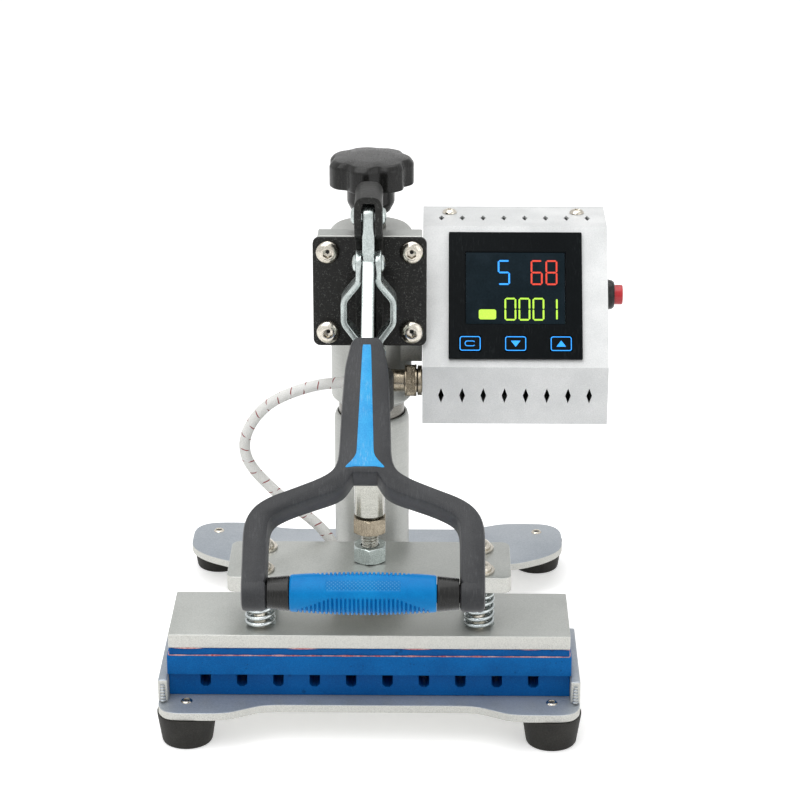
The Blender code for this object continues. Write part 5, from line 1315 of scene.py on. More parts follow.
@dataclass
class ToggleClamp:
    """Black toggle plate with its bent bracket, guide barrel, bolts and pivot."""

    half: float = 0.0337
    middle_z: float = 0.2646
    face_y: float = 0.025
    thick: float = 0.0027
    bolt_span: float = 0.0248
    bracket_foot: float = 0.2055
    bracket_top: float = 0.3325
    ear: float = 0.0040
    ear_x: float = 0.0060
    pivot_z: float = 0.319
    guide_foot: float = 0.197
    guide_top: float = 0.226
    guide_r: float = 0.0146
    front: tuple[tuple[float, float], ...] = (
        (0.0, 15.75), (0.16, 15.75), (0.20, 13.75), (0.69, 12.5), (0.775, 2.5), (0.815, -7.0),
        (0.86, -10.4), (0.94, -10.4), (0.985, -8.0))

    def bracket(self) -> Mesh:
        """Bent U of sheet; its front edge follows the height by straight pieces.

        Returns:
            The bracket's mesh.
        """
        top = self.bracket_top - self.ear / 2
        bend = np.array([(-self.ear_x, self.bracket_foot), (-self.ear_x, top),
                         (self.ear_x, top), (self.ear_x, self.bracket_foot)])
        path = evened(eased(bend, 0.0042, 8), 240)
        share = (path[:, 1] - self.bracket_foot) / (self.bracket_top - self.bracket_foot)
        shares, fronts = zip(*self.front)
        front = np.interp(share, shares, fronts) * MM
        place = Place((0.0, 0.0, 0.0), FRONT_UP)
        return strip("clamp_bracket", path, self.ear, -0.026, -front, place, 0.5 * MM)

    def build(self, shop: Workshop) -> None:
        """Builds plate, bracket, guide, bolts and rivets.

        Args:
            shop: takes the pieces.
        """
        face = Place((0.0, self.face_y, self.middle_z), FRONT_UP)
        plate = slab("clamp_plate", rounded_box(self.half, self.half, 0.0042), -self.thick, 0.0,
                     face, 0.5 * MM)
        shop.add("clamp_frame", joined("clamp_frame", [plate, self.bracket()]), CRINKLE, "head",
                 ("toggle_bracket",))
        low, top, r, bore = self.guide_foot, self.guide_top, self.guide_r, 0.00955
        barrel = turned("guide_barrel", [
            (bore, 0.21), (bore, top), (r - 0.004, top), (r, top - 0.004), (r, low + 0.004),
            (r - 0.004, low), (bore, low), (bore, 0.21)], Place(), edge=1.4 * MM)
        tongue = slab("guide_tongue", rounded_box(0.0037, 0.0082, 0.0008), -0.0244, -0.0120,
                      Place((0.0, 0.0, 0.2147), FRONT_UP))
        shop.add("guide_body", joined("guide_body", [barrel, tongue]), CRINKLE, "head",
                 ("plunger_guide",))
        shop.dress(PLATEN_METAL, "backing_plate")
        for side, x in (("left", -1), ("right", 1)):
            for level, z in (("low", -1), ("top", 1)):
                spot = (x * self.bolt_span, self.face_y - 0.0003,
                        self.middle_z + z * self.bolt_span)
                name = f"plate_screw_{level}_{side}"
                screw = socket_screw(name, Place(spot, FRONT_UP), 0.0071, 0.0044, 0.0039, 0.0132)
                shop.add(name, screw, CHROME, "head", (f"plate_bolt_{level}_{side}",))
        shop.add("pivot_rivet", rivet("pivot_rivet", self.pivot_z, 0.0083), ZINC, "head",
                 ("pivot_pin",))


def rivet(name: str, height: float, half: float) -> Mesh:
    """A pin across the machine with a dome at each end.

    Args:
        name: the mesh's name.
        height: height of its axis.
        half: half the length between its heads.

    Returns:
        The closed mesh.
    """
    dome = [(0.0, half + 0.0022), (0.0026, half + 0.00195), (0.0043, half + 0.0013),
            (0.0052, half), (0.0040, half)]
    both = dome + [(radius, -place) for radius, place in reversed(dome)]
    return turned(name, both, Place((0.0, 0.0, height), SIDE_ON), MIDDLE, 0.15 * MM)


@dataclass
class ForkHandle:
    """Zinc bar, forked plastic handle with its inlay, and the ribbed grip."""

    lean: float = math.radians(47.0)
    link_z: float = 0.2905
    pivot_z: float = 0.319
    thick: float = 0.020
    top: float = 0.0530
    length: float = 0.1535
    half_x: float = 0.0665
    arm: float = 0.0137
    chamfer: float = 0.0024
    grip_half: float = 0.040
    ribs: int = 34
    grip_r: float = 11.75
    grip_fall: float = 1.7
    lip_fall: float = 0.55
    rib_depth: float = 1.25
    panel_half: tuple[float, float] = (19.0, 2.0)
    panel_depth: float = 0.25
    fork_outline: tuple[tuple[float, float], ...] = (
        (0.084, 0.0), (0.117, 0.009), (0.141, 0.029), (0.150, 0.052), (0.183, 0.117),
        (0.204, 0.274), (0.221, 0.495), (0.263, 0.541), (0.371, 0.573), (0.582, 0.612),
        (0.790, 0.648), (0.902, 0.681), (0.970, 0.723), (1.0, 0.775), (1.0, 1.0),
        (0.794, 1.0), (0.794, 0.775), (0.774, 0.739), (0.722, 0.715), (0.582, 0.684),
        (0.188, 0.622), (0.098, 0.557))
    inlay_outline: tuple[tuple[float, float], ...] = (
        (0.176, 0.0), (0.205, 0.02), (0.403, 0.887), (0.63, 0.94), (1.0, 1.0), (0.504, 0.987))

    @property
    def along(self) -> Array:
        """The way down the handle."""
        return np.array([0.0, -math.sin(self.lean), -math.cos(self.lean)])

    @property
    def back(self) -> Array:
        """The way through the handle, away from the user's side."""
        return np.array([0.0, math.cos(self.lean), -math.sin(self.lean)])

    def place(self, lift: float = 0.0, down: float = 0.0, across: float = 0.0) -> Place:
        """The handle's frame: X, along, and out to the front.

        Args:
            lift: distance in front of the handle's middle.
            down: distance along it.
            across: distance to the right.
        """
        spot = np.array([across, 0.0, self.link_z]) + self.along * down - self.back * lift
        return Place(tuple(spot), ((1.0, 0.0, 0.0), tuple(self.along), tuple(-self.back)))

    def fork(self) -> Mesh:
        """The fork: its smooth outline through the thickness, and a half disc at each arm's end.

        Returns:
            The fork's mesh.
        """
        right = np.array(self.fork_outline) * (self.half_x, self.length) + (0.0, self.top)
        right = np.vstack([eased(right[:15], 0.0075, 7), eased(right[14:], 0.0075, 7)[1:]])
        both = np.vstack([right, right[::-1] * (-1.0, 1.0)])
        half = self.thick / 2
        parts = [slab("fork_body", both, -half, half, self.place(), self.chamfer, 3)]
        turn = np.linspace(-math.pi / 2, math.pi / 2, 33)
        disc = np.stack([np.cos(turn), np.sin(turn)], axis=1) * half
        disc = np.vstack([[(-0.0030, -half + 0.0001)], disc, [(-0.0030, half - 0.0001)]])
        end = self.place(down=self.top + self.length)
        for side in (-1.0, 1.0):
            mid = side * (self.half_x - self.arm / 2)
            axes = (end.axes[1], end.axes[2], (1.0, 0.0, 0.0))
            parts.append(slab("fork_end", disc, -self.arm / 2 + 0.00003, self.arm / 2 - 0.00003,
                              Place((mid, *end.origin[1:]), axes), self.chamfer, 3))
        return joined("handle_fork_body", parts)

    def bar(self) -> Mesh:
        """The bar in side view: round about the pivot, upright to the link pin, then leaning.

        Returns:
            The bar's mesh.
        """
        knee = np.array([(0.0, self.pivot_z), (0.0, self.link_z + 0.0025),
                         tuple(self.along[1:] * 0.0025 + (0.0, self.link_z)),
                         tuple(self.along[1:] * 0.098 + (0.0, self.link_z))])
        line = flowing(eased(knee, 0.006, 6), 6)
        way = np.gradient(line, axis=0)
        way /= np.linalg.norm(way, axis=1, keepdims=True)
        side = np.stack([-way[:, 1], way[:, 0]], axis=1) * 0.007
        turn = np.linspace(0.0, math.pi, 17)[1:-1]
        crown = np.stack([np.cos(turn), np.sin(turn)], axis=1) * 0.007 + (0.0, self.pivot_z)
        outline = np.vstack([(line - side)[::-1], crown[::-1], line + side])
        return slab("handle_bar_body", outline, -0.0035, 0.0035, Place(axes=SIDE_ON), 0.9 * MM)

    def grip(self) -> Mesh:
        """Ribbed rubber: radius = 11.75 - 1.7 u^2 mm, less the rib's depth outside a lens.

        A rib's groove is the positive part of cos(2 pi ribs x / length) raised to a power; the
        lens, where the skin is smooth, spans an angle about the front that falls towards the
        ends; the panel sinks by 0.25 mm inside a rounded rectangle.

        Returns:
            The closed mesh.
        """
        u = np.linspace(-1.0, 1.0, 501)[:, None]
        angle = np.linspace(-math.pi, math.pi, 128, endpoint=False)[None]
        lip = np.clip((np.abs(u) - 0.97) / 0.03, 0, 1) ** 2
        swell = self.grip_r - self.grip_fall * u ** 2 - self.lip_fall * lip
        groove = np.clip(np.cos(u * self.ribs * math.pi), 0.0, 1.0) ** 0.6
        reach = np.clip((0.91 - np.abs(u)) / 0.04, 0.0, 1.0)
        half_lens = 0.62 + 0.85 * np.clip((np.abs(u) - 0.42) / 0.5, 0.0, 1.0) ** 1.3
        outside = np.clip((np.abs(angle) - half_lens) / 0.10, 0.0, 1.0)
        x, y = u * 40.0, angle * 11.8
        long, wide = self.panel_half
        gap = np.hypot(np.maximum(np.abs(x) - long, 0), np.maximum(np.abs(y) - wide, 0)) - 1.5
        panel = np.clip(-gap / 0.3, 0.0, 1.0)
        radius = (swell - self.rib_depth * groove * reach * outside
                  - self.panel_depth * panel) * MM
        bore = np.full((1, angle.size), 5.3 * MM)
        radius = np.vstack([bore, radius, bore, bore])
        run = np.vstack([[-1.0], u, [1.0], [-1.0]]) * self.grip_half
        run = np.broadcast_to(run, radius.shape)
        grid = np.stack([run, radius * np.sin(angle), radius * np.cos(angle)], axis=-1)
        return skin("grip_rubber_sleeve", self.place(down=self.top + self.length).put(grid))

    def collars(self) -> Mesh:
        """The cross bar with a tapered collar at each end of the grip.

        Returns:
            The closed mesh.
        """
        half = [(0.0, 0.0616), (0.0050, 0.0616), (0.0050, 0.0525), (0.0085, 0.0525),
                (0.0097, 0.0408), (0.0092, 0.0403), (0.0050, 0.0403)]
        both = half + [(radius, -run) for radius, run in reversed(half)]
        spot = self.place(down=self.top + self.length).origin
        return turned("grip_collars", both, Place(spot, SIDE_ON), 64, 0.5 * MM)

    def build(self, shop: Workshop) -> None:
        """Builds all that swings on the pivot.

        Args:
            shop: takes the pieces.
        """
        shop.add("lever_bar", self.bar(), ZINC, "handle", ("handle_bar",))
        shop.add("fork_body", self.fork(), FORK_GREY, "handle", ("handle_fork",), 26.0)
        right = np.array(self.inlay_outline) * (0.0119, 0.0772) + (0.0, 0.0585)
        both = np.vstack([eased(right, 0.0028, 7), eased(right, 0.0028, 7)[::-1] * (-1.0, 1.0)])
        shop.add("inlay_plate", slab("inlay_plate", both, 0.0094, 0.01018, self.place(),
                                     0.15 * MM, 3), INLAY_BLUE, "handle", ("fork_inlay",))
        shop.add("grip_cover", self.grip(), GRIP_BLUE, "handle", ("grip_sleeve",))
        shop.add("grip_core", self.collars(), GLOSS_BLACK, "handle", ("grip_bar",))
        shop.add("link_rivet", rivet("link_rivet", self.link_z, 0.0076), ZINC, "handle",
                 ("link_pin",))


@dataclass
class LinkPair:
    """The pair of bowed links between handle and plunger."""

    top_z: float = 0.2905
    foot_z: float = 0.235
    half_y: float = 0.0075
    thick: float = 0.0035
    bow: tuple[float, float, float] = (0.00555, 0.01445, 0.00625)

    def build(self, shop: Workshop) -> None:
        """Half width = the circle's about each pin, square root of R^2 - (z - pin)^2.

        Args:
            shop: takes the pieces.
        """
        top, low, far = self.bow
        line = np.array([(top, 0.298), (top, 0.2805), (low, 0.2694), (low, 0.2555),
                         (far, 0.2444), (far, 0.2275)])
        line = evened(eased(line, 0.0026, 7), 170)
        past = np.maximum(np.maximum(line[:, 1] - self.top_z, self.foot_z - line[:, 1]), 0.0)
        wide = np.sqrt(np.maximum(self.half_y ** 2 - past ** 2, (0.4 * MM) ** 2))
        for name, side in (("left", -1.0), ("right", 1.0)):
            path = line * (side, 1.0)
            link = strip(f"link_{name}", path, self.thick, -wide, wide,
                         Place(axes=FRONT_UP), 0.6 * MM)
            x = side * (far + self.thick / 2)
            dome = [(0.0, 0.0021), (0.003, 0.0019), (0.0048, 0.0010), (0.0052, -0.0004),
                    (0.0, -0.0004)]
            axes = SIDE_ON if side > 0 else FACING_LEFT
            head = turned(f"link_head_{name}", dome, Place((x, 0.0, self.foot_z), axes), MIDDLE,
                          0.2 * MM)
            shop.add(f"bowed_link_{name}", joined(f"bowed_link_{name}", [link, head]), ZINC,
                     "links", (f"link_{name}",))


@dataclass
class PressCarriage:
    """Plunger, stud with its nuts, and the mount plate."""

    half_x: float = 0.085
    half_y: float = 0.027
    foot: float = 0.0927
    top: float = 0.1027
    plunger_r: float = 0.00925
    plunger_foot: float = 0.133
    plunger_top: float = 0.219
    stud_r: float = 0.0052
    nut_corner: float = 0.01095

    def build(self, shop: Workshop) -> None:
        """Builds what slides with the plunger.

        Args:
            shop: takes the pieces.
        """
        shop.add("press_plate", slab("press_plate", rounded_box(self.half_x, self.half_y, 0.0055),
                                     self.foot, self.top, edge=0.6 * MM), PLATEN_METAL,
                 "carriage", ("mount_plate",))
        r, low, top = self.plunger_r, self.plunger_foot, self.plunger_top
        body = turned("plunger_body", [(0.0, top), (r, top), (r, low), (0.0, low)], Place(),
                      64, 0.8 * MM)
        ring = np.linspace(0.0, math.pi, 17)
        tongue = np.stack([np.cos(ring), np.sin(ring)], axis=1) * 0.0075 + (0.0, 0.235)
        tongue = np.vstack([tongue, [(-0.0075, top - 0.002), (0.0075, top - 0.002)]])
        tongue = slab("plunger_tongue", tongue, -0.0042, 0.0042, Place(axes=SIDE_ON), 0.5 * MM)
        stud = thread("stud_thread", self.stud_r, 0.0008, 0.00175,
                      np.linspace(0.0945, low + 0.001, 300), Place())
        shop.add("plunger_rod", joined("plunger_rod", [body, tongue, stud]), PLUNGER_STEEL,
                 "carriage", ("plunger",), crease=40.0)
        for name, z, finish in (("upper", 0.1215, NICKEL), ("lower", 0.1030, ZINC)):
            shop.add(f"hex_nut_{name}", nut(f"hex_nut_{name}", Place((0.0, 0.0, z)),
                                            self.nut_corner, 0.010, 0.0055), finish,
                     "carriage", (f"jam_nut_{name}",), crease=24.0)


@dataclass
class HeatedPlaten:
    """Cover, heater and pad on four sprung shoulder screws."""

    half_x: float = 0.1208
    half_y: float = 0.031
    cover: tuple[float, float] = (0.0576, 0.0663)
    heater: tuple[float, float] = (0.0529, 0.0573)
    pad: tuple[float, float] = (0.0403, 0.0526)
    spring_x: float = 0.066
    spring_y: float = 0.0163
    coil_r: float = 0.0082
    wire_r: float = 0.00125
    live_turns: float = 3.75
    end_gap: float = 0.00055
    plate_foot: float = 0.0927
    travel: float = 0.005

    def corners(self) -> list[tuple[float, float, str]]:
        """Place and name of each shoulder screw with its spring.

        Returns:
            X, Y and name, left before right and front before rear.
        """
        return [(x * self.spring_x, y * self.spring_y, f"{end}_{side}")
                for x, side in ((-1, "left"), (1, "right"))
                for y, end in ((-1, "front"), (1, "rear"))]

    def springs(self, shop: Workshop) -> None:
        """Coil: radius (cos a, sin a), its height rising fast over the live turns only.

        Args:
            shop: takes the pieces.
        """
        foot = self.cover[1] + 0.0003 + self.wire_r
        top = self.plate_foot - 0.0003 - self.wire_r
        slow = self.wire_r * 2 + self.end_gap
        live = (top - foot - 2 * slow) / self.live_turns
        turns = np.linspace(0.0, self.live_turns + 2.0, 277)
        height = np.interp(turns, (0.0, 1.0, 1.0 + self.live_turns, 2.0 + self.live_turns),
                           (foot, foot + slow, foot + slow + live * self.live_turns, top))
        angle = 2 * math.pi * turns
        for x, y, corner in self.corners():
            path = np.stack([x + self.coil_r * np.cos(angle), y + self.coil_r * np.sin(angle),
                             height], axis=1)
            name = f"coil_{corner}"
            coil = shop.add(name, wire(name, path, self.wire_r, 12), SPRING_WIRE, "platen",
                            (f"spring_{corner}",), crease=60.0)
            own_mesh(coil)

    def seams(self, shop: Workshop) -> None:
        """Adhesive squeezed out along two seams: a thin line round the block, of uneven radius.

        Args:
            shop: takes the pieces.
        """
        ring = rounded_box(self.half_x - 0.0001, self.half_y - 0.0001, 0.0008, 4)
        ring = evened(np.vstack([ring, ring[:1]]), 420)
        run = np.linspace(0.0, 2 * math.pi, 420)
        uneven = 1.0 + 0.35 * np.sin(run * 7) * np.sin(run * 23 + 1.0) + 0.2 * np.sin(run * 61)
        tall = np.full((420, 1), self.heater[0] - 0.00015)
        line = wire("seam_line", np.hstack([ring, tall]), 0.00042 * uneven, 8)
        tall = np.full((420, 1), self.heater[1] + 0.00015)
        patchy = np.clip(np.sin(run * 5 + 0.6) * np.sin(run * 13) - 0.25, 0.02, 1.0)
        over = wire("seam_over", np.hstack([ring, tall]), 0.00055 * patchy, 8)
        shop.add("seam_adhesive", joined("seam_adhesive", [line, over]), ADHESIVE, "platen")

    def build(self, shop: Workshop) -> None:
        """Builds the heated block and what holds it.

        Args:
            shop: takes the pieces.
        """
        shop.add("cover_block", slab("cover_block", rounded_box(self.half_x, self.half_y, 0.0009),
                                     *self.cover, edge=0.5 * MM), PLATEN_METAL, "platen",
                 ("heater_cover",))
        shop.add("heater_layer", slab("heater_layer", rounded_box(
            self.half_x - 0.0003, self.half_y - 0.0003, 0.0008), *self.heater,
            edge=0.3 * MM), TRAY_BLUE, "platen", ("heater_block",))
        outline = rounded_box(self.half_x + 0.0010, self.half_y + 0.0010, 0.0011)
        shop.add("press_pad", slab("press_pad", outline, *self.pad, edge=0.7 * MM), PAD_BLUE,
                 "platen", ("silicone_pad",))
        for x, y, corner in self.corners():
            name = f"shoulder_screw_{corner}"
            shop.add(name, socket_screw(name, Place((x, y, 0.1030)), 0.0074, 0.0058, 0.0040,
                                        0.0427, (0.0092, 0.0014)), CHROME, "platen",
                     (f"spring_bolt_{corner}",))
        self.springs(shop)
        self.seams(shop)
        shop.dress(CHROME, "cable_gland")


@dataclass
class ControlBox:
    """Control box with its lit display, keys, push button, inlet and connector."""

    left: float = 0.0313
    wide: float = 0.1113
    top_y: float = 0.07104
    top_z: float = 0.29156
    button: tuple[float, float] = (0.060, 0.252)
    connector: tuple[float, float] = (0.0315, 0.2066)
    glass: float = 0.0022
    key_face: float = 0.0031
    key_down: float = 0.0743
    key_pitch: float = 0.0272

    def panel(self, height: float) -> Place:
        """The sloped face: X from the box's middle, distance up from its top edge, and out.

        Args:
            height: distance out from the face.
        """
        up, out = np.array([0.0, 0.5671, 0.8236]), np.array([0.0, -0.8236, 0.5671])
        spot = np.array([self.left + self.wide / 2, self.top_y, self.top_z]) + out * height
        return Place(tuple(spot), ((1.0, 0.0, 0.0), tuple(up), tuple(out)))

    def digit(self, lit: str, x: float, down: float, wide: float, high: float) -> Array:
        """Seven-segment digit: each lit bar is a hexagon pointed at both ends.

        Args:
            lit: letters a to g of the lit bars.
            x: left side from the box's middle, in millimetres.
            down: top side from the panel's top edge, in millimetres.
            wide: width.
            high: height.

        Returns:
            The hexagons' corners, one block a bar.
        """
        ends = {"a": ((0, 0), (1, 0)), "b": ((1, 0), (1, 0.5)), "c": ((1, 0.5), (1, 1)),
                "d": ((0, 1), (1, 1)), "e": ((0, 0.5), (0, 1)), "f": ((0, 0), (0, 0.5)),
                "g": ((0, 0.5), (1, 0.5))}
        bars = np.array([ends[letter] for letter in lit], float)
        half = 0.52
        bars = bars * (wide - 2 * half, high - 2 * half) + (x + half, down + half)
        way = bars[:, 1] - bars[:, 0]
        way /= np.linalg.norm(way, axis=1, keepdims=True)
        side = np.stack([-way[:, 1], way[:, 0]], axis=1)
        first, last = bars[:, 0] + way * 0.14, bars[:, 1] - way * 0.14
        corners = [first, first + (way + side) * half, last + (side - way) * half, last,
                   last - (way + side) * half, first + (way - side) * half]
        return np.stack(corners, axis=1) * (MM, -MM)

    def lit_digits(self, name: str, digits: list[tuple[str, float]], down: float, wide: float,
                   high: float) -> Mesh:
        """Several digits as one thin mesh just over the glass.

        Args:
            name: the mesh's name.
            digits: lit bars and left side of each.
            down: their top.
            wide: their width.
            high: their height.

        Returns:
            The mesh.
        """
        bars = np.concatenate([self.digit(lit, x, down, wide, high) for lit, x in digits])
        place = self.panel(self.glass)
        return joined(name, [slab(name, bar, 0.00002, 0.00008, place, 0.00001, 2)
                             for bar in bars])

    def display(self, shop: Workshop) -> None:
        """The display's digits and badge, and the outline and sign of each key.

        Args:
            shop: takes the pieces.
        """
        zeros = [("abcdef", x) for x in (-6.6, 1.8, 10.2)] + [("bc", 18.2)]
        for name, digits, down, wide, high, finish in (
                ("time_digit", [("afgcd", -10.6)], 22.0, 7.4, 15.6, LIT_BLUE),
                ("heat_digits", [("afgedc", 9.2), ("abcdefg", 18.1)], 22.0, 7.2, 15.6, LIT_RED),
                ("count_digits", zeros, 45.6, 7.1, 14.2, LIT_GREEN)):
            shop.add(name, self.lit_digits(name, digits, down, wide, high), finish, "head")
        badge = self.panel(self.glass)
        shape = rounded_box(0.0052, 0.0031, 0.0013) + (-0.0168, -0.0560)
        shop.add("heat_badge", slab("heat_badge", shape, 0.00002, 0.00008, badge, 0.00001, 2),
                 LIT_GREEN, "head")
        ring = rounded_box(0.0060, 0.0042, 0.0012, 6)
        loop = rounded_box(0.0030, 0.0015, 0.0014, 8)[3:-3]
        wedge = np.array([(-0.0029, 0.0018), (0.0029, 0.0018), (0.0, -0.0020)])
        signs = {"set": (-1, None), "down": (0, wedge), "up": (1, wedge[::-1] * (1.0, -1.0))}
        for name, (step, sign) in signs.items():
            move = (step * self.key_pitch, -self.key_down)
            place = self.panel(self.key_face)
            parts = [strip(f"key_ring_{name}", ring + move, 0.00055,
                           0.00002, 0.00008, place, 0.00001, closed=True)]
            if sign is None:
                parts.append(strip("key_loop", loop + move, 0.0005, 0.00002, 0.00008, place,
                                   0.00001))
            else:
                parts.append(slab(f"key_sign_{name}", sign + move, 0.00002, 0.00008, place,
                                  0.00001, 2))
            # The key marks are print; the lit finish gives them a painted glow.
            shop.add(f"key_mark_{name}", joined(f"key_mark_{name}", parts), LIT_BLUE,
                     f"{name}_key")

    def fittings(self, shop: Workshop) -> None:
        """Push button, connector and the two screws on the box's top.

        Args:
            shop: takes the pieces.
        """
        right = self.left + self.wide
        button = Place((right, *self.button), SIDE_ON)
        ring = [(0.0063, -0.006), (0.0063, 0.0040), (0.0068, 0.0045), (0.0078, 0.0044),
                (0.0088, 0.0030), (0.0093, 0.0004), (0.0093, 0.0002), (0.0074, 0.0001),
                (0.0074, -0.006), (0.0063, -0.006)]
        shop.add("button_bezel", turned("button_bezel", ring, button, 64, 0.3 * MM), GLOSS_BLACK,
                 "head", ("button_ring",))
        tip = [(0.0, 0.0090), (0.0046, 0.0092), (0.0056, 0.0097), (0.0060, 0.0091),
               (0.0060, -0.010), (0.0, -0.010)]
        shop.add("button_cap", turned("button_cap", tip, button, 64, 0.35 * MM), BUTTON_RED,
                 "button", ("power_button",))
        left = Place((self.left, *self.connector), FACING_LEFT)
        socket = [(0.0, -0.008), (0.0068, -0.008), (0.0068, 0.0002), (0.0091, 0.0003),
                  (0.0091, 0.0028), (0.0070, 0.0031), (0.0070, 0.0088), (0.0056, 0.0088),
                  (0.0056, 0.002), (0.0, 0.002)]
        shop.add("socket_shell", turned("socket_shell", socket, left, 64), NICKEL, "head",
                 ("connector_socket",))
        rows = np.linspace(0.0, 1.0, 60)
        angle = np.linspace(0.0, 2 * math.pi, 240, endpoint=False)
        grip = np.abs(np.sin(30 * angle[None] + rows[:, None] * 24)) \
            * np.abs(np.sin(30 * angle[None] - rows[:, None] * 24))
        band = (np.clip((rows - 0.12) / 0.05, 0, 1) * np.clip((0.88 - rows) / 0.05, 0, 1))[:, None]
        profile = np.stack([np.full(60, 0.0095), 0.0035 + 0.007 * rows], axis=1)
        reach = 1.0 - (1.0 - grip ** 0.6) * band * 0.045 + (1.0 - band) * 0.018
        profile = np.vstack([(0.0073, 0.0035), profile, (0.0073, 0.0105), (0.0073, 0.0035)])
        reach = np.vstack([np.ones(240), reach, np.ones((2, 240))])
        shop.add("coupling_ring", turned("coupling_ring", profile, left, 240, 0.0, reach), NICKEL,
                 "head", ("connector_ring",))
        plug = [(0.0, 0.0155), (0.0034, 0.0165), (0.0036, 0.0292), (0.0045, 0.0295),
                (0.0066, 0.0289), (0.0068, 0.0280), (0.0068, 0.0215), (0.0061, 0.0212),
                (0.0061, 0.0200), (0.0068, 0.0196), (0.0068, 0.0180), (0.0068, 0.0107),
                (0.0050, 0.0107), (0.0050, 0.0070), (0.0, 0.0070)]
        shop.add("plug_shell", turned("plug_shell", plug, left, 64), NICKEL, "head",
                 ("connector_plug",))
        for name, x in (("left", 0.0475), ("right", 0.1255)):
            spot = Place((x, 0.0985, 0.2919))
            angle = np.linspace(0.0, 2 * math.pi, 64, endpoint=False)
            dome = np.array([(0.0, 0.0010), (0.0012, 0.0011), (0.0020, 0.0023), (0.0033, 0.0019),
                             (0.0042, 0.0011), (0.0045, 0.0002), (0.0030, 0.0), (0.0, 0.0)])
            cross = 1.0 + 0.5 * np.cos(4 * angle)[None] * (dome[:, :1] == 0.0012)
            screw = turned(f"lid_screw_{name}", dome, spot, 64, 0.0, cross)
            shop.add(f"lid_screw_{name}", screw, CHROME, "head", crease=60.0)

    def build(self, shop: Workshop) -> None:
        """Dresses the box and builds what is on it.

        Args:
            shop: takes the pieces.
        """
        shop.dress(BOX_PAINT, "box_shell", "box_back")
        shop.dress(PLATEN_METAL, "box_brace")
        shop.dress(INLET_BLACK, "mains_inlet")
        shop.dress(BEZEL_BLACK, "display_bezel", "key_set", "key_down", "key_up")
        shop.dress(WINDOW, "display_glass")
        shop.dress(BOARD, "control_board")
        self.display(shop)
        self.fittings(shop)


@dataclass
class HeaterLead:
    """The white sleeved lead from the plug to the gland behind the heated block."""

    radius: float = 0.0034
    bend_start: Triple = (-0.031, 0.0326, 0.2030)
    bend_end: Triple = (-0.0200, 0.0368, 0.0735)
    route: tuple[Triple, ...] = (
        (0.0022, 0.0315, 0.2066), (-0.0060, 0.0318, 0.2062), (-0.0160, 0.0320, 0.2050),
        (-0.0310, 0.0326, 0.2030), (-0.0460, 0.0328, 0.1985), (-0.0590, 0.0345, 0.1915),
        (-0.0680, 0.0362, 0.1830), (-0.0745, 0.0378, 0.1725), (-0.0772, 0.0390, 0.1625),
        (-0.0762, 0.0398, 0.1530), (-0.0715, 0.0404, 0.1440), (-0.0640, 0.0408, 0.1350),
        (-0.0560, 0.0410, 0.1270), (-0.0470, 0.0408, 0.1195), (-0.0380, 0.0400, 0.1125),
        (-0.0300, 0.0388, 0.1050), (-0.0240, 0.0376, 0.0965), (-0.0210, 0.0370, 0.0880),
        (-0.0200, 0.0368, 0.0800), (-0.0200, 0.0368, 0.0720), (-0.0200, 0.0368, 0.0625))

    def build(self, shop: Workshop) -> None:
        """Builds the lead, bends it between head and carriage and declares it.

        Args:
            shop: takes the piece.
        """
        route = np.array(self.route)
        path = evened(flowing(route, 12), 260)
        length = float(np.linalg.norm(np.diff(path, axis=0), axis=1).sum())
        lead = shop.add("sleeved_lead", wire("sleeved_lead", path, self.radius, 24),
                        replace(SLEEVE_WHITE, length=length), "head", crease=60.0)
        lead.parent = None
        lead.matrix_world.identity()
        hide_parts("heater_cable")
        shop.dressed.add("heater_cable")
        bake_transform(lead)


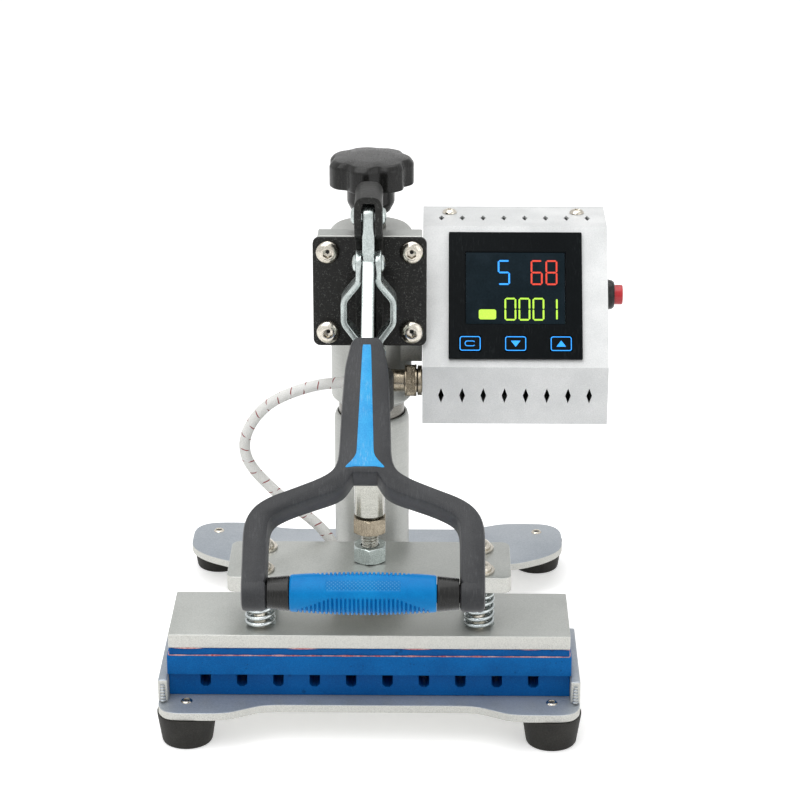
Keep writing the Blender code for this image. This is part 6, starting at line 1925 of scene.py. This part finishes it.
@dataclass
class Studio:
    """Pale floor, soft lamps, white surroundings and the photograph's camera."""

    lens: float = 119.54
    spot: Triple = (0.02387, -1.50915, 0.7589)
    pitch: float = 20.61
    yaw: float = 0.70
    floor_lift: float = 0.42
    soft_light: float = 0.34
    lamps: tuple[tuple[str, Triple, float, float, float], ...] = (
        ("key_lamp", (-0.8, -0.9, 2.3), 0.12, 2.2, 36.0),
        ("fill_lamp", (1.6, -1.2, 1.0), 0.12, 1.6, 7.0),
        ("top_lamp", (0.2, 0.4, 2.2), 0.10, 1.8, 16.0))

    def floor(self) -> None:
        """A wide floor that rises behind the machine; to the camera it is lifted to white."""
        run = np.linspace(0.0, 1.0, 60)
        depth = np.interp(run, (0.0, 0.6, 0.8, 1.0), (-4.0, 2.4, 3.6, 4.0))
        rise = np.clip((run - 0.6) / 0.4, 0.0, 1.0) ** 2.2 * 3.0
        across = np.linspace(-4.0, 4.0, 3)
        grid = np.stack([np.broadcast_to(across, (60, 3)), np.broadcast_to(depth[:, None], (60, 3)),
                         np.broadcast_to(rise[:, None], (60, 3))], axis=-1)
        rows, columns = grid.shape[:2]
        index = np.arange(rows * columns).reshape(rows, columns)
        faces = np.stack([index[:-1, :-1], index[:-1, 1:], index[1:, 1:], index[1:, :-1]], axis=-1)
        mesh = bpy.data.meshes.new("studio_floor")
        mesh.from_pydata(grid.reshape(-1, 3).tolist(), [], faces.reshape(-1, 4).tolist())
        mesh.shade_smooth()
        graph = Graph("studio_floor")
        cloud = graph.noise(graph.coordinates(), 3.0)
        colour = graph.blend(cloud, tone(250, 250, 250), tone(252, 252, 252))
        path = graph.add("ShaderNodeLightPath", out="Is Camera Ray")
        mirror = graph.add("ShaderNodeLightPath", out="Is Glossy Ray")
        lift = path.most(mirror) * self.floor_lift
        graph.close(graph.add("ShaderNodeBsdfPrincipled", values={
            "Base Color": colour, "Roughness": 0.9, "Specular IOR Level": 0.1,
            "Emission Color": tone(255, 255, 255), "Emission Strength": lift}))
        mesh.materials.append(graph.material)
        floor = bpy.data.objects.new("studio_floor", mesh)
        bpy.context.scene.collection.objects.link(floor)

    def lamp(self, name: str, spot: Triple, aim: Triple, size: float, power: float) -> None:
        """One soft square lamp.

        Args:
            name: its name.
            spot: where it hangs.
            aim: what it looks at.
            size: its side.
            power: its power in watts.
        """
        data = bpy.data.lights.new(name, "AREA")
        data.shape = "SQUARE"
        data.size = size
        data.energy = power
        lamp = bpy.data.objects.new(name, data)
        back = np.array(spot) - np.array(aim)
        turn = math.atan2(back[0], -back[1])
        lean = math.acos(back[2] / np.linalg.norm(back))
        lamp.location = spot
        lamp.rotation_euler = (lean, 0.0, turn)
        bpy.context.scene.collection.objects.link(lamp)

    def world(self) -> None:
        """White for the camera and in reflections, softer for the light that it gives."""
        world = bpy.data.worlds.new("studio")
        bpy.context.scene.world = world
        world.use_nodes = True
        nodes, links = world.node_tree.nodes, world.node_tree.links
        nodes.clear()
        path = nodes.new("ShaderNodeLightPath")
        seen = nodes.new("ShaderNodeMath")
        seen.operation = "MAXIMUM"
        links.new(path.outputs["Is Camera Ray"], seen.inputs[0])
        either = nodes.new("ShaderNodeMath")
        either.operation = "MAXIMUM"
        links.new(path.outputs["Is Glossy Ray"], either.inputs[0])
        links.new(path.outputs["Is Transmission Ray"], either.inputs[1])
        links.new(either.outputs[0], seen.inputs[1])
        strength = nodes.new("ShaderNodeMapRange")
        strength.inputs["To Min"].default_value = self.soft_light
        strength.inputs["To Max"].default_value = 1.0
        links.new(seen.outputs[0], strength.inputs["Value"])
        ground = nodes.new("ShaderNodeBackground")
        ground.inputs["Color"].default_value = (1.0, 1.0, 1.0, 1.0)
        links.new(strength.outputs[0], ground.inputs["Strength"])
        links.new(ground.outputs[0], nodes.new("ShaderNodeOutputWorld").inputs["Surface"])

    def build(self) -> None:
        """Sets up floor, lamps, world and camera."""
        self.floor()
        for name, spot, aim, size, power in self.lamps:
            self.lamp(name, spot, (0.0, 0.0, aim), size, power)
        self.world()
        data = bpy.data.cameras.new("photo_camera")
        data.lens = self.lens
        data.sensor_width = 36.0
        camera = bpy.data.objects.new("photo_camera", data)
        camera.location = self.spot
        camera.rotation_euler = (math.radians(90.0 - self.pitch), 0.0, math.radians(self.yaw))
        bpy.context.scene.collection.objects.link(camera)
        bpy.context.scene.camera = camera
        bpy.context.scene.view_settings.view_transform = "Standard"


def main() -> None:
    """Builds every sub-assembly, reports each piece and notes the two boxes."""
    logging.basicConfig(level=logging.INFO, format="%(name)s: %(message)s", stream=sys.stdout)
    Studio().build()
    shop = Workshop()
    for assembly in (BaseStand(), SwivelHead(), StarKnob(), ToggleClamp(), ForkHandle(),
                     LinkPair(), PressCarriage(), HeatedPlaten(), ControlBox(), HeaterLead()):
        log.info("building %s", type(assembly).__name__)
        assembly.build(shop)
    shop.report_bare()
    bpy.context.view_layer.update()


if __name__ == "__main__":
    main()
